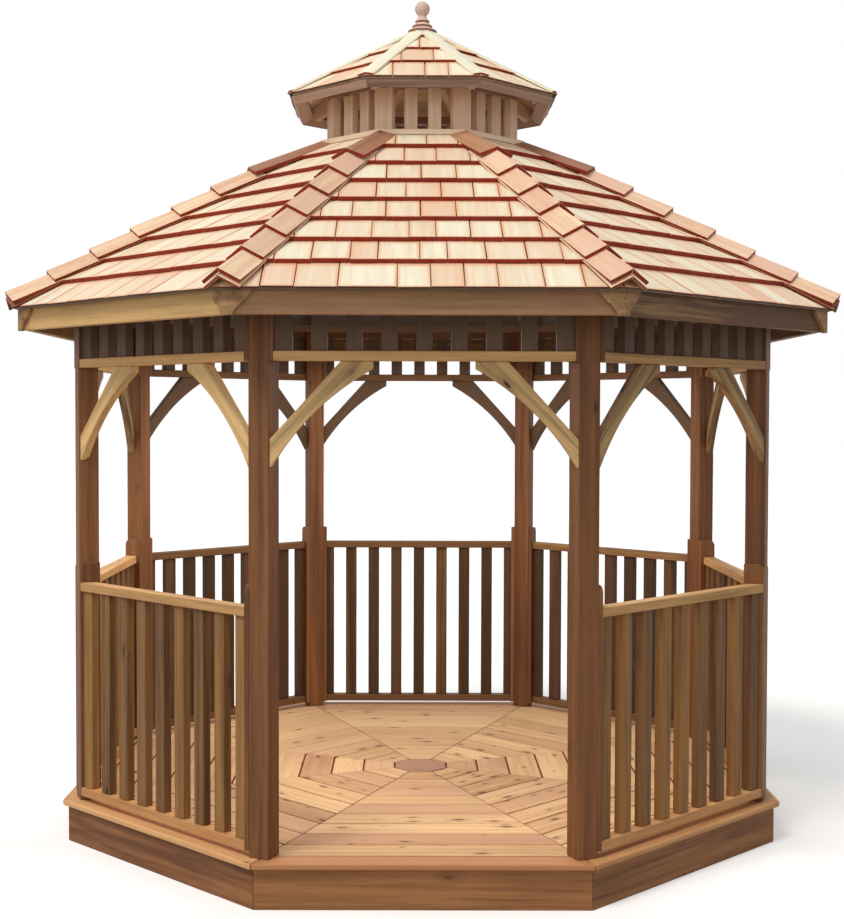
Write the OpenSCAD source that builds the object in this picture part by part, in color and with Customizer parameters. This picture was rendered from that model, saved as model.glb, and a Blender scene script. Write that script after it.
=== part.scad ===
// Eight-sided cedar garden gazebo with a cupola.
// One flat side, the open entrance bay, faces -Y.
// The origin is on the ground under the middle of the floor.

/* [Posts and floor] */
// Distance from the middle of the floor to the middle of a post
post_ring_r = 1630; // [1300:10:2200]
// Side of a square post
post_w = 89; // [70:1:120]
// Height of the floor above the ground
floor_h = 187; // [120:1:300]
// Thickness of the deck boards
deck_t = 25; // [18:1:45]
// Thickness of the skirt boards under the deck
skirt_t = 38; // [19:1:60]
// How far a skirt corner stands out past the middle of its post
skirt_reach = 90; // [70:1:140]
// How far the deck edge stands out past the skirt
nosing = 24; // [5:1:60]

/* [Railing] */
// Height of the handrail above the floor
handrail_h = 982; // [800:1:1100]
// Thickness of the flat rails
rail_t = 38; // [25:1:60]
// Width of the flat rails
rail_w = 64; // [50:1:89]
// Gap between the floor and the bottom rail
floor_gap = 25; // [10:1:80]
// Number of balusters between the end stiles of a bay
baluster_count = 7; // [3:1:9]
// Width of a baluster as seen from the front
baluster_w = 63; // [30:1:70]
// Thickness of balusters and stiles across the rail
baluster_t = 38; // [20:1:48]
// Width of an end stile
stile_w = 60; // [25:1:60]
// Distance of the panels outward from the middle line of the posts
panel_out = 33; // [0:1:34]
// Thickness of a cleat on the side of a post
cleat_t = 19; // [18:1:40]
// Height of a railing cleat above the handrail
cleat_rise = 88; // [20:1:160]
// Radius of the rounded top corner of a cleat
cleat_round = 30; // [5:1:30]

/* [Frieze and braces] */
// Height of a post above the floor
post_h = 2225; // [1900:1:2600]
// Height of the frieze panel, from its lower rail's underside to the post tops
frieze_h = 287; // [180:1:420]
// Thickness of a knee brace
brace_t = 38; // [25:1:50]
// Horizontal reach of a knee brace from its post
brace_run = 392; // [300:1:450]
// Height of a knee brace down its post
brace_drop = 411; // [300:1:600]
// Length of the brace end that meets the frieze rail
brace_head = 124; // [80:1:180]
// Length of the brace end that meets the post
brace_foot = 116; // [80:1:180]
// Height of the steep facet at the tip of a brace
brace_tip = 30; // [10:1:60]
// Depth of the arch cut into the lower edge of a brace
brace_arch = 37; // [10:1:60]

/* [Main roof] */
// Rise of the main roof for each unit of run
roof_slope = 0.608; // [0.4:0.001:0.8]
// Thickness of the top plate boards
plate_t = 38; // [25:1:60]
// Width of the top plate boards
plate_w = 89; // [70:1:140]
// Height of the shingle plane above the top plate, over the post line
roof_heel = 121; // [110:1:180]
// Overhang of the shingles past the post line
eave_reach = 293; // [200:1:450]
// Thickness of the shingles above the butt plane
shingle_t = 5; // [3:1:20]
// Thickness of the sheathing below the butt plane
sheathing_t = 17; // [10:1:30]
// Thickness of a hip rafter
rafter_t = 38; // [25:1:60]
// Depth of a hip rafter
rafter_d = 89; // [80:1:140]
// Setback of the fascia face from the eave line
fascia_set = 35; // [10:1:80]
// Thickness of the fascia boards
fascia_t = 38; // [19:1:50]
// Height of the fascia boards
fascia_d = 106; // [70:1:180]
// Thickness of the corner trims over the fascia mitres
trim_t = 19; // [10:1:30]
// Width of a corner trim wing at its top
trim_top_w = 98; // [70:1:140]
// Width of a corner trim wing at its foot
trim_foot_w = 28; // [15:1:50]
// How far a corner trim hangs below the fascia
trim_drop = 4; // [0:1:20]
// Half width of a hip cap
cap_half_w = 74; // [50:1:110]
// Height of a hip cap above its feet
cap_rise = 46; // [25:1:80]
// Thickness of the strip that runs along a hip under the cap units
cap_t = 9; // [6:1:20]
// How far a hip strip stands out past the eave corner
cap_nose = 15; // [0:1:60]
// Thickness of a cap unit at its butt
cap_butt_t = 13; // [8:1:20]
// How far a cap unit's butt is lifted off the strip by the unit below
cap_lift = 7; // [4:1:14]
// Length of a cap unit that the next one leaves open
cap_exposure = 214; // [160:1:260]
// Number of cap units that overlap along a hip, before the last one at the collar
cap_count = 6; // [4:1:6]
// Height of the last cap unit above its feet
cap_end_rise = 30; // [22:1:40]
// Height of the last cap unit's ridge above the hip where it meets the collar
cap_end_h = 18; // [10:1:30]
// How far the first cap unit stays back from the end of its strip
cap_back = 10; // [0:1:40]

/* [Cupola] */
// How far the collar stands out past the face of the corner uprights
collar_reach = 45; // [20:1:60]
// Height of the collar above the shingles
collar_t = 25; // [15:1:50]
// Width of the collar boards
collar_w = 84; // [70:1:140]
// Depth of the curb under the collar
curb_d = 110; // [60:1:160]
// Thickness of the curb boards
curb_t = 38; // [25:1:60]
// Distance from the axis to the outer face of a corner upright
cupola_post_r = 475; // [400:1:600]
// Width of a cupola corner upright
cupola_post_w = 89; // [60:1:110]
// Thickness of the cupola uprights
cupola_post_t = 38; // [20:1:45]
// Width of a cupola spindle
cupola_spindle_w = 60; // [30:1:70]
// Number of spindles on each side of the cupola
cupola_spindle_count = 2; // [1:1:3]
// Height of the cupola uprights
cupola_post_h = 196; // [150:1:350]
// Width of the cupola plate boards
cupola_plate_w = 64; // [50:1:89]
// Rise of the cupola roof for each unit of run
cupola_slope = 0.59; // [0.4:0.001:0.8]
// Depth of a cupola rafter
cupola_rafter_d = 64; // [50:1:89]
// Height of the cupola shingle plane above its plate, over the wall
cupola_heel = 95; // [90:1:140]
// Overhang of the cupola shingles past the middle of the wall
cupola_reach = 198; // [120:1:300]
// Width of the cupola fascia boards, up the slope under the sheathing
cupola_fascia_t = 64; // [12:1:89]
// Height of the cupola fascia boards, square to the roof
cupola_fascia_d = 38; // [25:1:110]
// Half width of a cupola hip board
hip_board_half_w = 38; // [25:1:60]
// Thickness of a cupola hip board
hip_board_t = 8; // [6:1:25]
// How far a cupola hip board stands out past the eave corner
hip_board_nose = 6; // [0:1:40]

/* [Finial] */
// Radius of the hollow under the finial foot, where it sits on the hip boards
finial_seat_r = 58; // [40:1:65]
// Diameter of the finial foot at its rim
finial_foot_w = 142; // [130:1:180]
// Diameter of the finial foot at its top
finial_foot_top_w = 79; // [60:1:120]
// Height of the finial foot
finial_foot_h = 24; // [12:1:40]
// Height of the upright rim of each finial tier
finial_rim_h = 4; // [2:1:8]
// Diameter of the finial ball
finial_ball_d = 73; // [50:1:110]
// Diameter of the middle tier of the finial at its rim
finial_block_w = 98; // [75:1:120]
// Diameter of the middle tier of the finial at its top
finial_block_top_w = 52; // [45:1:70]
// Height of each tier above the finial foot
finial_block_h = 24; // [12:1:40]
// Diameter of the upper tier of the finial at its rim
finial_top_w = 70; // [56:1:74]
// Diameter of the neck under the ball
finial_neck_d = 40; // [30:1:54]
// Height from the upper tier to the underside of the ball
finial_neck_h = 4; // [0:1:30]

/* [Hidden] */
$fn = 64;

// The plan is a regular octagon: bay 0 is the front, and bays run anticlockwise from above.
sides = 8;
bay_turn = 360 / sides;
half_turn = bay_turn / 2;
front = 0;
front_right = 1;
right = 2;
back_right = 3;
back = 4;
back_left = 5;
left = 6;
front_left = 7;
entrance = front;
open_joint = 1.5;
seat_gap = 0.3;

// Heights
deck_z = floor_h - deck_t;
handrail_z = floor_h + handrail_h - rail_t;
bottom_rail_z = floor_h + floor_gap;
plate_z = floor_h + post_h;
frieze_z = plate_z - frieze_h;
plate_top = plate_z + plate_t;

// Distances of flat sides from the axis
post_flat = post_ring_r * cos(half_turn);
skirt_flat = (post_ring_r + skirt_reach) * cos(half_turn);
deck_flat = skirt_flat + nosing;
eave_flat = post_flat + eave_reach;
fascia_flat = eave_flat - fascia_set;
collar_flat = cupola_post_r * cos(half_turn) + collar_reach;

// A post's side face slants across a bay, and the panels end on a cleat along it.
// Places along the bay are given for a distance outward from the middle line of the posts.
post_half = post_w / 2;
post_along = post_ring_r * sin(half_turn);
function post_side(out) = post_along - (post_half - out * sin(half_turn)) / cos(half_turn);
function panel_end(out) = post_side(out) - cleat_t / cos(half_turn);
post_face = post_side(panel_out);
panel_half = panel_end(panel_out);
panel_flat = post_flat + panel_out;

// A sloping layer is thicker when it is measured straight up
function pitch(slope) = atan(slope);
function plumb(thick, slope) = thick / cos(pitch(slope));
function corner_r(flat) = flat / cos(half_turn);

// A hip line falls more gently than its roof, and the roof falls away from it on both sides
function hip_slope(slope) = slope * cos(half_turn);
function hip_pitch(slope) = atan(hip_slope(slope));
function hip_fall(slope) = slope * sin(half_turn);
function hip_side_fall(slope) = hip_fall(slope) * cos(hip_pitch(slope));

// Heights of the plane of the shingle butts, by distance from the axis square to a side
function roof_z(flat) = plate_top + roof_heel + roof_slope * (post_flat - flat);
function cupola_z(flat) = cupola_plate_top + cupola_heel + cupola_slope * (cupola_wall_flat - flat);

// Vertical thicknesses of the roof layers
shingle_rise = plumb(shingle_t, roof_slope);
sheathing_fall = plumb(sheathing_t, roof_slope);
cupola_shingle_rise = plumb(shingle_t, cupola_slope);
cupola_sheathing_fall = plumb(sheathing_t, cupola_slope);

// Cupola levels
collar_z = roof_z(collar_flat) + shingle_rise;
collar_top = collar_z + collar_t;
cupola_plate_z = collar_top + cupola_post_h;
cupola_plate_top = cupola_plate_z + plate_t;
cupola_wall_flat = (cupola_post_r - cupola_post_t / 2) * cos(half_turn);
cupola_eave_flat = cupola_wall_flat + cupola_reach;
hip_board_peak = cupola_z(0) + cupola_shingle_rise + hip_board_t / cos(hip_pitch(cupola_slope));

// Finial levels
finial_hollow_h = finial_seat_r * hip_slope(cupola_slope);
finial_foot_z = hip_board_peak - finial_hollow_h;
finial_block_z = finial_foot_z + finial_foot_h;
finial_top_z = finial_block_z + finial_block_h;
finial_neck_z = finial_top_z + finial_block_h;
finial_ball_z = finial_neck_z + finial_neck_h + finial_ball_d / 2;
overall_h = finial_ball_z + finial_ball_d / 2;

// Wood colours
deck_colour = "#c9a06a";
post_colour = "#9a6238";
rail_colour = "#a9814f";
brace_colour = "#a67a48";
roof_colour = "#ecd2a4";
cap_colour = "#dca583";
fascia_colour = "#b18856";
inner_colour = "#8a6440";
cupola_colour = "#c3a078";
finial_colour = "#d8c4a6";

// Turns its children from the front into a given bay
module at_bay(bay) {
  rotate([0, 0, bay * bay_turn]) children();
}

// Turns its children from the front to the corner after a given bay
module at_corner(bay) {
  rotate([0, 0, bay * bay_turn + half_turn]) children();
}

// An upright eight-sided prism, given the distance to its flat sides
module octagon(flat, h) {
  rotate([0, 0, half_turn]) cylinder(r = corner_r(flat), h = h, $fn = sides);
}

// An upright eight-sided ring
module octagon_ring(outer_flat, width, h) {
  difference() {
    octagon(outer_flat, h);
    translate([0, 0, -h]) octagon(outer_flat - width, 3 * h);
  }
}

// Extrudes an outline of [distance out, height] points along a bay
module along_bay(outline, length) {
  rotate([90, 0, -90]) linear_extrude(height = length, center = true) polygon(outline);
}

// The upright wedge of space that belongs to one bay, less half an open joint on each side
module bay_wedge(flat, z, h, joint = 0) {
  tip = joint / 2 / sin(half_turn);
  translate([0, 0, z]) linear_extrude(height = h)
    polygon([[0, -tip], [(flat - tip) * tan(half_turn), -flat], [(tip - flat) * tan(half_turn), -flat]]);
}

// A straight board along a bay with its ends mitred to the corners
module mitred_board(outline, flat, z, h) {
  intersection() {
    along_bay(outline, 2 * flat);
    bay_wedge(flat, z, h, open_joint);
  }
}

// A square bar that stands in a bay
module bay_upright(x, width, depth, z, h) {
  translate([x - width / 2, -panel_flat - depth / 2, z]) cube([width, depth, h]);
}

// A flat rail between the cleats of a bay, with its ends cut to their slant
module bay_rail(z) {
  outer = panel_out + rail_w / 2;
  inner = panel_out - rail_w / 2;
  translate([0, -post_flat, z]) linear_extrude(height = rail_t)
    polygon([[-panel_end(outer), -outer], [panel_end(outer), -outer],
      [panel_end(inner), -inner], [-panel_end(inner), -inner]]);
}

// The stile at the right end of a panel, square inside and slanted where it meets the cleat
module bay_stile(z, h) {
  outer = panel_out + baluster_t / 2;
  inner = panel_out - baluster_t / 2;
  edge = panel_half - stile_w;
  translate([0, -post_flat, z]) linear_extrude(height = h)
    polygon([[edge, -outer], [panel_end(outer), -outer], [panel_end(inner), -inner], [edge, -inner]]);
}

// Evenly spaced balusters between two end stiles
module bay_balusters(z, h) {
  clear = 2 * (panel_half - stile_w);
  pitch_x = (clear + baluster_w) / (baluster_count + 1);
  middle = (baluster_count - 1) / 2;
  for (i = [0 : baluster_count - 1])
    bay_upright((i - middle) * pitch_x, baluster_w, baluster_t, z, h);
  for (side = [0, 1]) mirror([side, 0, 0]) bay_stile(z, h);
}

// The space of the post at one end of a bay, made long enough to trim what meets it
module post_space(side, z, h) {
  rotate([0, 0, side * half_turn])
    translate([-post_half, -post_ring_r - post_w, z]) cube([post_w, 2 * post_w, h]);
}

module floor_deck() {
  color(deck_colour) translate([0, 0, deck_z]) octagon(deck_flat, deck_t);
}

module skirt_boards() {
  inner_flat = skirt_flat - skirt_t;
  outline = [[inner_flat, 0], [skirt_flat, 0], [skirt_flat, deck_z], [inner_flat, deck_z]];
  color(post_colour) for (bay = [0 : sides - 1])
    at_bay(bay) mitred_board(outline, skirt_flat, 0, deck_z);
}

// The two posts at the ends of one bay
module bay_posts(bay) {
  color(post_colour) for (corner = [bay - 1, bay])
    at_corner(corner) translate([-post_half, -post_ring_r - post_half, floor_h])
      cube([post_w, post_w, post_h]);
}

module railing(bay) {
  color(rail_colour) at_bay(bay) {
    bay_rail(handrail_z);
    bay_rail(bottom_rail_z);
    bay_balusters(bottom_rail_z + rail_t, handrail_z - bottom_rail_z - rail_t);
  }
}

module frieze(bay) {
  top_rail_z = plate_z - rail_t;
  color(rail_colour) at_bay(bay) {
    bay_rail(frieze_z);
    bay_rail(top_rail_z);
    bay_balusters(frieze_z + rail_t, top_rail_z - frieze_z - rail_t);
  }
}

// A board on the side face of the post at one end of a bay
module cleat(side, z, h, corner_round) {
  rotate([0, 0, side * half_turn]) mirror([side > 0 ? 1 : 0, 0, 0])
    translate([post_half, -post_ring_r, z]) rotate([90, 0, 90])
      linear_extrude(height = cleat_t) cleat_face(h, corner_round);
}

// The wide face of a cleat, with a rounded top corner on the outside
module cleat_face(h, corner_round) {
  if (corner_round > 0) {
    translate([corner_round - post_half, h - corner_round]) intersection() {
      circle(r = corner_round);
      translate([-corner_round, 0]) square(corner_round);
    }
    polygon([[-post_half, 0], [post_half, 0], [post_half, h], [corner_round - post_half, h],
      [corner_round - post_half, h - corner_round], [-post_half, h - corner_round]]);
  } else {
    translate([-post_half, 0]) square([post_w, h]);
  }
}

module post_cleats() {
  railing_cleat_h = handrail_z + rail_t + cleat_rise - bottom_rail_z;
  color(rail_colour) for (bay = [0 : sides - 1], side = [-1, 1]) at_bay(bay) {
    if (bay != entrance) cleat(side, bottom_rail_z, railing_cleat_h, cleat_round);
    cleat(side, frieze_z, frieze_h, 0);
  }
}

// The front view of a knee brace on the right: straight above and arched below
module brace_face() {
  tip_x = post_face - brace_run;
  foot_x = post_along;
  foot_z = -brace_drop;
  arch_x = post_face - tip_x;
  arch_z = -brace_tip - foot_z;
  chord = norm([arch_x, arch_z]);
  arch_r = (chord * chord / 4 + brace_arch * brace_arch) / (2 * brace_arch);
  chord_turn = atan2(arch_z, arch_x);
  head_x = tip_x + brace_head;
  edge_slope = (foot_z + brace_foot) / (post_face - head_x);
  difference() {
    polygon([[tip_x, 0], [head_x, 0], [foot_x, edge_slope * (foot_x - head_x)],
      [foot_x, foot_z], [post_face, foot_z], [tip_x, -brace_tip]]);
    translate([(tip_x + post_face) / 2, (foot_z - brace_tip) / 2]) rotate(-chord_turn)
      translate([0, brace_arch - arch_r]) circle(r = arch_r, $fn = 256);
  }
}

module knee_brace(side) {
  difference() {
    translate([0, brace_t / 2 - panel_flat, frieze_z]) rotate([90, 0, 0])
      linear_extrude(height = brace_t) mirror([side > 0 ? 0 : 1, 0]) brace_face();
    post_space(side, frieze_z - 2 * brace_drop, 3 * brace_drop);
  }
}

module knee_braces() {
  color(brace_colour) for (bay = [0 : sides - 1], side = [-1, 1])
    at_bay(bay) knee_brace(side);
}

// Eight flat boards round the axis with mitred ends
module board_ring(outer_flat, width, z, h) {
  outline = [[outer_flat - width, z], [outer_flat, z], [outer_flat, z + h], [outer_flat - width, z + h]];
  for (bay = [0 : sides - 1]) at_bay(bay) mitred_board(outline, outer_flat, z, h);
}

module top_plate() {
  color(inner_colour) board_ring(post_flat + plate_w / 2, plate_w, plate_z, plate_t);
}

// A rafter under a hip at the front, its upper edges just under the sheathing.
// Its tail is cut along r = end_b + end_c * z, and peak is the shingle plane's height at the axis.
module hip_rafter(slope, peak, depth, inner_r, end_b, end_c) {
  fall = hip_slope(slope);
  top = peak - plumb(sheathing_t, slope) - hip_fall(slope) * rafter_t / 2;
  bottom = top - depth / cos(hip_pitch(slope));
  top_end = (end_b + end_c * top) / (1 + end_c * fall);
  bottom_end = (end_b + end_c * bottom) / (1 + end_c * fall);
  along_bay([[inner_r, top - fall * inner_r], [top_end, top - fall * top_end],
    [bottom_end, bottom - fall * bottom_end], [inner_r, bottom - fall * inner_r]], rafter_t);
}

// How far a square rafter end stays back from a corner between two flat sides
corner_back = rafter_t / 2 * tan(half_turn);

module hip_rafters() {
  tail_r = corner_r(fascia_flat - fascia_t) - corner_back;
  color(inner_colour) difference() {
    for (corner = [0 : sides - 1]) at_corner(corner)
      hip_rafter(roof_slope, roof_z(0), rafter_d, collar_flat, tail_r, 0);
    octagon(collar_flat, overall_h);
    octagon_ring(post_flat + plate_w / 2, plate_w, plate_top);
  }
}

// The space under the shingles of the front bay, down to the ground
module roof_space(inner_flat, outer_flat) {
  outline = [[inner_flat, 0], [outer_flat, 0], [outer_flat, roof_z(outer_flat) + shingle_rise],
    [inner_flat, roof_z(inner_flat) + shingle_rise]];
  intersection() {
    along_bay(outline, 2 * outer_flat);
    bay_wedge(outer_flat, 0, overall_h);
  }
}

// One sloping side of the main roof, mitred along the hips
module roof_panel(bay) {
  outline = [[eave_flat, roof_z(eave_flat) - sheathing_fall], [eave_flat, roof_z(eave_flat) + shingle_rise],
    [collar_flat, roof_z(collar_flat) + shingle_rise], [collar_flat, roof_z(collar_flat) - sheathing_fall]];
  color(roof_colour) at_bay(bay) intersection() {
    along_bay(outline, 2 * eave_flat);
    bay_wedge(eave_flat, 0, overall_h);
  }
}

// A V-shaped strip along a hip at the front, from a point on the hip line up to a length
module hip_strip(slope, low_r, low_z, length, half_w, rise, thick) {
  foot = -hip_side_fall(slope) * half_w;
  translate([0, -low_r, low_z]) rotate([hip_pitch(slope), 0, 0]) rotate([-90, 0, 0]) mirror([0, 1, 0])
    linear_extrude(height = length)
      polygon([[-half_w, foot], [0, foot + rise], [half_w, foot],
        [half_w, foot + thick], [0, foot + rise + thick], [-half_w, foot + thick]]);
}

// Places on a hip line, and the lean of the boards on both sides of it
cap_strip_r = corner_r(eave_flat) + cap_nose;
cap_cos = cos(hip_pitch(roof_slope));
cap_end_r = cap_strip_r - (cap_back + cap_count * cap_exposure) * cap_cos;
cap_foot = -hip_side_fall(roof_slope) * cap_half_w;
cap_lean = atan(cap_rise / cap_half_w);
cap_end_lean = atan(cap_end_rise / cap_half_w);
cap_ridge_h = cap_foot + cap_rise + (cap_t + cap_lift + cap_butt_t) / cos(cap_lean);
function hip_z(r) = roof_z(r * cos(half_turn)) + shingle_rise;

// The boards on both sides of a hip at the front, from a profile of [distance up the hip, thickness].
// They meet at a ridge that stands ridge above the hip line, and dip turns their upper end to the roof.
module cap_boards(profile, low_r, ridge, lean, dip = 0) {
  width = cap_half_w / cos(lean);
  for (side = [0, 1]) mirror([side, 0, 0]) intersection() {
    translate([0, -low_r, hip_z(low_r)]) rotate([hip_pitch(roof_slope) - dip, 0, 0])
      translate([0, 0, ridge]) rotate([0, lean, 0]) translate([-width, 0, 0])
        rotate([90, 0, 90]) linear_extrude(height = 2 * width) polygon(profile);
    translate([open_joint / 2, -2 * eave_flat, 0]) cube([eave_flat, 2 * eave_flat, overall_h]);
  }
}

// A strip with a step on it for each cap unit: a unit is thick at its butt and thins up to the next
module stepped_caps() {
  butt = cap_t + cap_lift + cap_butt_t;
  steps = [for (i = [0 : cap_count - 1], top = [0, 1])
    [cap_back + i * cap_exposure, top == 0 ? cap_t + (i > 0 ? cap_lift : 0) : butt]];
  end = cap_back + cap_count * cap_exposure - open_joint;
  profile = concat([[0, 0], [0, cap_t]], steps, [[end, cap_t + cap_lift], [end, 0]]);
  cap_boards(profile, cap_strip_r, cap_foot + cap_rise, cap_lean);
}

// The last pair of boards is flatter: it comes down to the roof and is cut to the corner of the collar
module last_caps() {
  run = (cap_end_r - corner_r(collar_flat)) / cap_cos;
  ridge = cap_ridge_h - cap_butt_t / cos(cap_end_lean);
  length = run + collar_w;
  profile = [[0, 0], [0, cap_butt_t], [length, cap_butt_t], [length, 0]];
  difference() {
    cap_boards(profile, cap_end_r, ridge, cap_end_lean, atan((cap_ridge_h - cap_end_h) / run));
    for (side = [-1, 1]) rotate([0, 0, side * half_turn]) roof_space(collar_flat - collar_w, eave_flat);
    rotate([0, 0, half_turn]) octagon(collar_flat + seat_gap, overall_h);
  }
}

module hip_caps() {
  color(cap_colour) for (corner = [0 : sides - 1]) at_corner(corner) {
    stepped_caps();
    last_caps();
  }
}

module fascia_boards() {
  top = roof_z(fascia_flat) - sheathing_fall;
  outline = [[fascia_flat - fascia_t, top - fascia_d], [fascia_flat, top - fascia_d],
    [fascia_flat, top], [fascia_flat - fascia_t, top]];
  color(fascia_colour) for (bay = [0 : sides - 1])
    at_bay(bay) mitred_board(outline, fascia_flat, top - fascia_d, fascia_d);
}

// One wing of a corner trim with an S-curved side, as seen from the front, the mitre at x = 0
module trim_wing_face(height) {
  curve_steps = 16;
  curve = [for (i = [0 : curve_steps]) let (t = i / curve_steps)
    [trim_foot_w + (trim_top_w - trim_foot_w) * (1 - cos(180 * t)) / 2, height * t]];
  polygon(concat([[0, 0]], curve, [[0, height]]));
}

module corner_trims() {
  top = roof_z(fascia_flat + trim_t) - sheathing_fall;
  bottom = roof_z(fascia_flat) - sheathing_fall - fascia_d - trim_drop;
  color(fascia_colour) for (corner = [0 : sides - 1]) at_corner(corner) {
    for (side = [-1, 1]) intersection() {
      rotate([0, 0, -side * half_turn]) mirror([side > 0 ? 0 : 1, 0, 0])
        translate([-corner_r(fascia_flat) * sin(half_turn) - trim_t * tan(half_turn), -fascia_flat, bottom])
          rotate([90, 0, 0]) linear_extrude(height = trim_t) trim_wing_face(top - bottom);
      translate([side > 0 ? -corner_r(eave_flat) : 0, -2 * eave_flat, 0])
        cube([corner_r(eave_flat), 2 * eave_flat, plate_top + roof_heel]);
    }
  }
}

module cupola_curb() {
  color(inner_colour) board_ring(collar_flat, curb_t, collar_z - curb_d, curb_d);
}

module cupola_collar() {
  color(cupola_colour) board_ring(collar_flat, collar_w, collar_z, collar_t);
}

// Corner uprights and spindles of the cupola
module cupola_uprights() {
  clear = 2 * (cupola_post_r * sin(half_turn) - cupola_post_w / 2 / cos(half_turn));
  pitch_x = (clear + cupola_spindle_w) / (cupola_spindle_count + 1);
  middle = (cupola_spindle_count - 1) / 2;
  color(cupola_colour) for (bay = [0 : sides - 1]) {
    at_corner(bay) translate([-cupola_post_w / 2, -cupola_post_r, collar_top])
      cube([cupola_post_w, cupola_post_t, cupola_post_h]);
    at_bay(bay) for (i = [0 : cupola_spindle_count - 1])
      translate([(i - middle) * pitch_x - cupola_spindle_w / 2,
        -cupola_wall_flat - cupola_post_t / 2, collar_top])
        cube([cupola_spindle_w, cupola_post_t, cupola_post_h]);
  }
}

module cupola_plate() {
  color(inner_colour)
    board_ring(cupola_wall_flat + cupola_plate_w / 2, cupola_plate_w, cupola_plate_z, plate_t);
}

// The cupola fascia stands square to the slope: its outer top edge and its directions
fascia_edge = [cupola_eave_flat, cupola_z(cupola_eave_flat) - cupola_sheathing_fall];
fascia_down = [-sin(pitch(cupola_slope)), -cos(pitch(cupola_slope))];
fascia_inward = [-cos(pitch(cupola_slope)), sin(pitch(cupola_slope))];

module cupola_rafters() {
  inner_edge = fascia_edge + cupola_fascia_t * fascia_inward;
  end_b = corner_r(inner_edge[0] - inner_edge[1] * cupola_slope) - corner_back;
  end_c = corner_r(cupola_slope);
  color(inner_colour) difference() {
    for (corner = [0 : sides - 1]) at_corner(corner) intersection() {
      hip_rafter(cupola_slope, cupola_z(0), cupola_rafter_d, 0, end_b, end_c);
      bay_wedge(2 * cupola_eave_flat, 0, overall_h, open_joint);
    }
    octagon_ring(cupola_wall_flat + cupola_plate_w / 2, cupola_plate_w, cupola_plate_top);
  }
}

module cupola_roof() {
  low = -cupola_sheathing_fall;
  high = cupola_shingle_rise;
  eave_z = cupola_z(cupola_eave_flat);
  outline = [[cupola_eave_flat, eave_z + low], [cupola_eave_flat, eave_z + high],
    [0, cupola_z(0) + high], [0, cupola_z(0) + low]];
  color(roof_colour) for (bay = [0 : sides - 1])
    at_bay(bay) mitred_board(outline, cupola_eave_flat, 0, overall_h);
}

module cupola_hip_boards() {
  low_r = corner_r(cupola_eave_flat) + hip_board_nose;
  low_z = cupola_z(low_r * cos(half_turn)) + cupola_shingle_rise;
  rise = hip_side_fall(cupola_slope) * hip_board_half_w;
  length = low_r / cos(hip_pitch(cupola_slope));
  color(cupola_colour) for (corner = [0 : sides - 1]) at_corner(corner) intersection() {
    hip_strip(cupola_slope, low_r, low_z, length, hip_board_half_w, rise, hip_board_t);
    bay_wedge(2 * cupola_eave_flat, 0, overall_h, open_joint);
  }
}

module cupola_fascia() {
  lower_edge = fascia_edge + cupola_fascia_d * fascia_down;
  outline = [fascia_edge, lower_edge, lower_edge + cupola_fascia_t * fascia_inward,
    fascia_edge + cupola_fascia_t * fascia_inward];
  color(cupola_colour) for (bay = [0 : sides - 1])
    at_bay(bay) mitred_board(outline, cupola_eave_flat, 0, overall_h);
}

// A turned ball on three tiers that flare to overhanging rims, hollowed underneath to sit on the hip boards
module finial() {
  color(finial_colour) difference() {
    union() {
      translate([0, 0, finial_foot_z]) finial_tier(finial_foot_w, finial_foot_top_w, finial_foot_h);
      translate([0, 0, finial_block_z]) finial_tier(finial_block_w, finial_block_top_w, finial_block_h);
      translate([0, 0, finial_top_z]) finial_tier(finial_top_w, finial_neck_d, finial_block_h);
      translate([0, 0, finial_neck_z]) cylinder(d = finial_neck_d, h = finial_neck_h + finial_ball_d / 2);
      translate([0, 0, finial_ball_z]) sphere(d = finial_ball_d);
    }
    translate([0, 0, finial_foot_z]) cylinder(r1 = finial_seat_r, r2 = 0, h = finial_hollow_h);
  }
}

// One tier of the finial: an upright rim and a slope up to the tier's top
module finial_tier(rim_w, top_w, h) {
  cylinder(d = rim_w, h = finial_rim_h);
  translate([0, 0, finial_rim_h]) cylinder(d1 = rim_w, d2 = top_w, h = h - finial_rim_h);
}

floor_deck();
skirt_boards();
bay_posts(front);  // front_posts
bay_posts(right);  // right_posts
bay_posts(back);  // back_posts
bay_posts(left);  // left_posts
railing(front_right);  // railing_front_right
railing(right);  // railing_right
railing(back_right);  // railing_back_right
railing(back);  // railing_back
railing(back_left);  // railing_back_left
railing(left);  // railing_left
railing(front_left);  // railing_front_left
frieze(front);  // frieze_front
frieze(front_right);  // frieze_front_right
frieze(right);  // frieze_right
frieze(back_right);  // frieze_back_right
frieze(back);  // frieze_back
frieze(back_left);  // frieze_back_left
frieze(left);  // frieze_left
frieze(front_left);  // frieze_front_left
post_cleats();
knee_braces();
top_plate();
hip_rafters();
roof_panel(front);  // roof_front
roof_panel(front_right);  // roof_front_right
roof_panel(right);  // roof_right
roof_panel(back_right);  // roof_back_right
roof_panel(back);  // roof_back
roof_panel(back_left);  // roof_back_left
roof_panel(left);  // roof_left
roof_panel(front_left);  // roof_front_left
hip_caps();
fascia_boards();
corner_trims();
cupola_curb();
cupola_collar();
cupola_uprights();
cupola_plate();
cupola_rafters();
cupola_roof();
cupola_hip_boards();
cupola_fascia();
finial();
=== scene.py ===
# %% [markdown]
# # A cedar garden gazebo
# The gazebo is an open, eight-sided room of red cedar with a shingled roof and a small cupola on top. Its
# construction is already solid: every post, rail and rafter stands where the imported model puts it. This
# lesson dresses that frame. Each stick of wood gets eased edges and a grain of its own, the deck and the
# sheathing become single boards, and the roof gets its shingles one by one.

# %% Load the frame
import math
import random

import bmesh
import bpy
import numpy as np
from mathutils import Matrix, Vector


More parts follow.
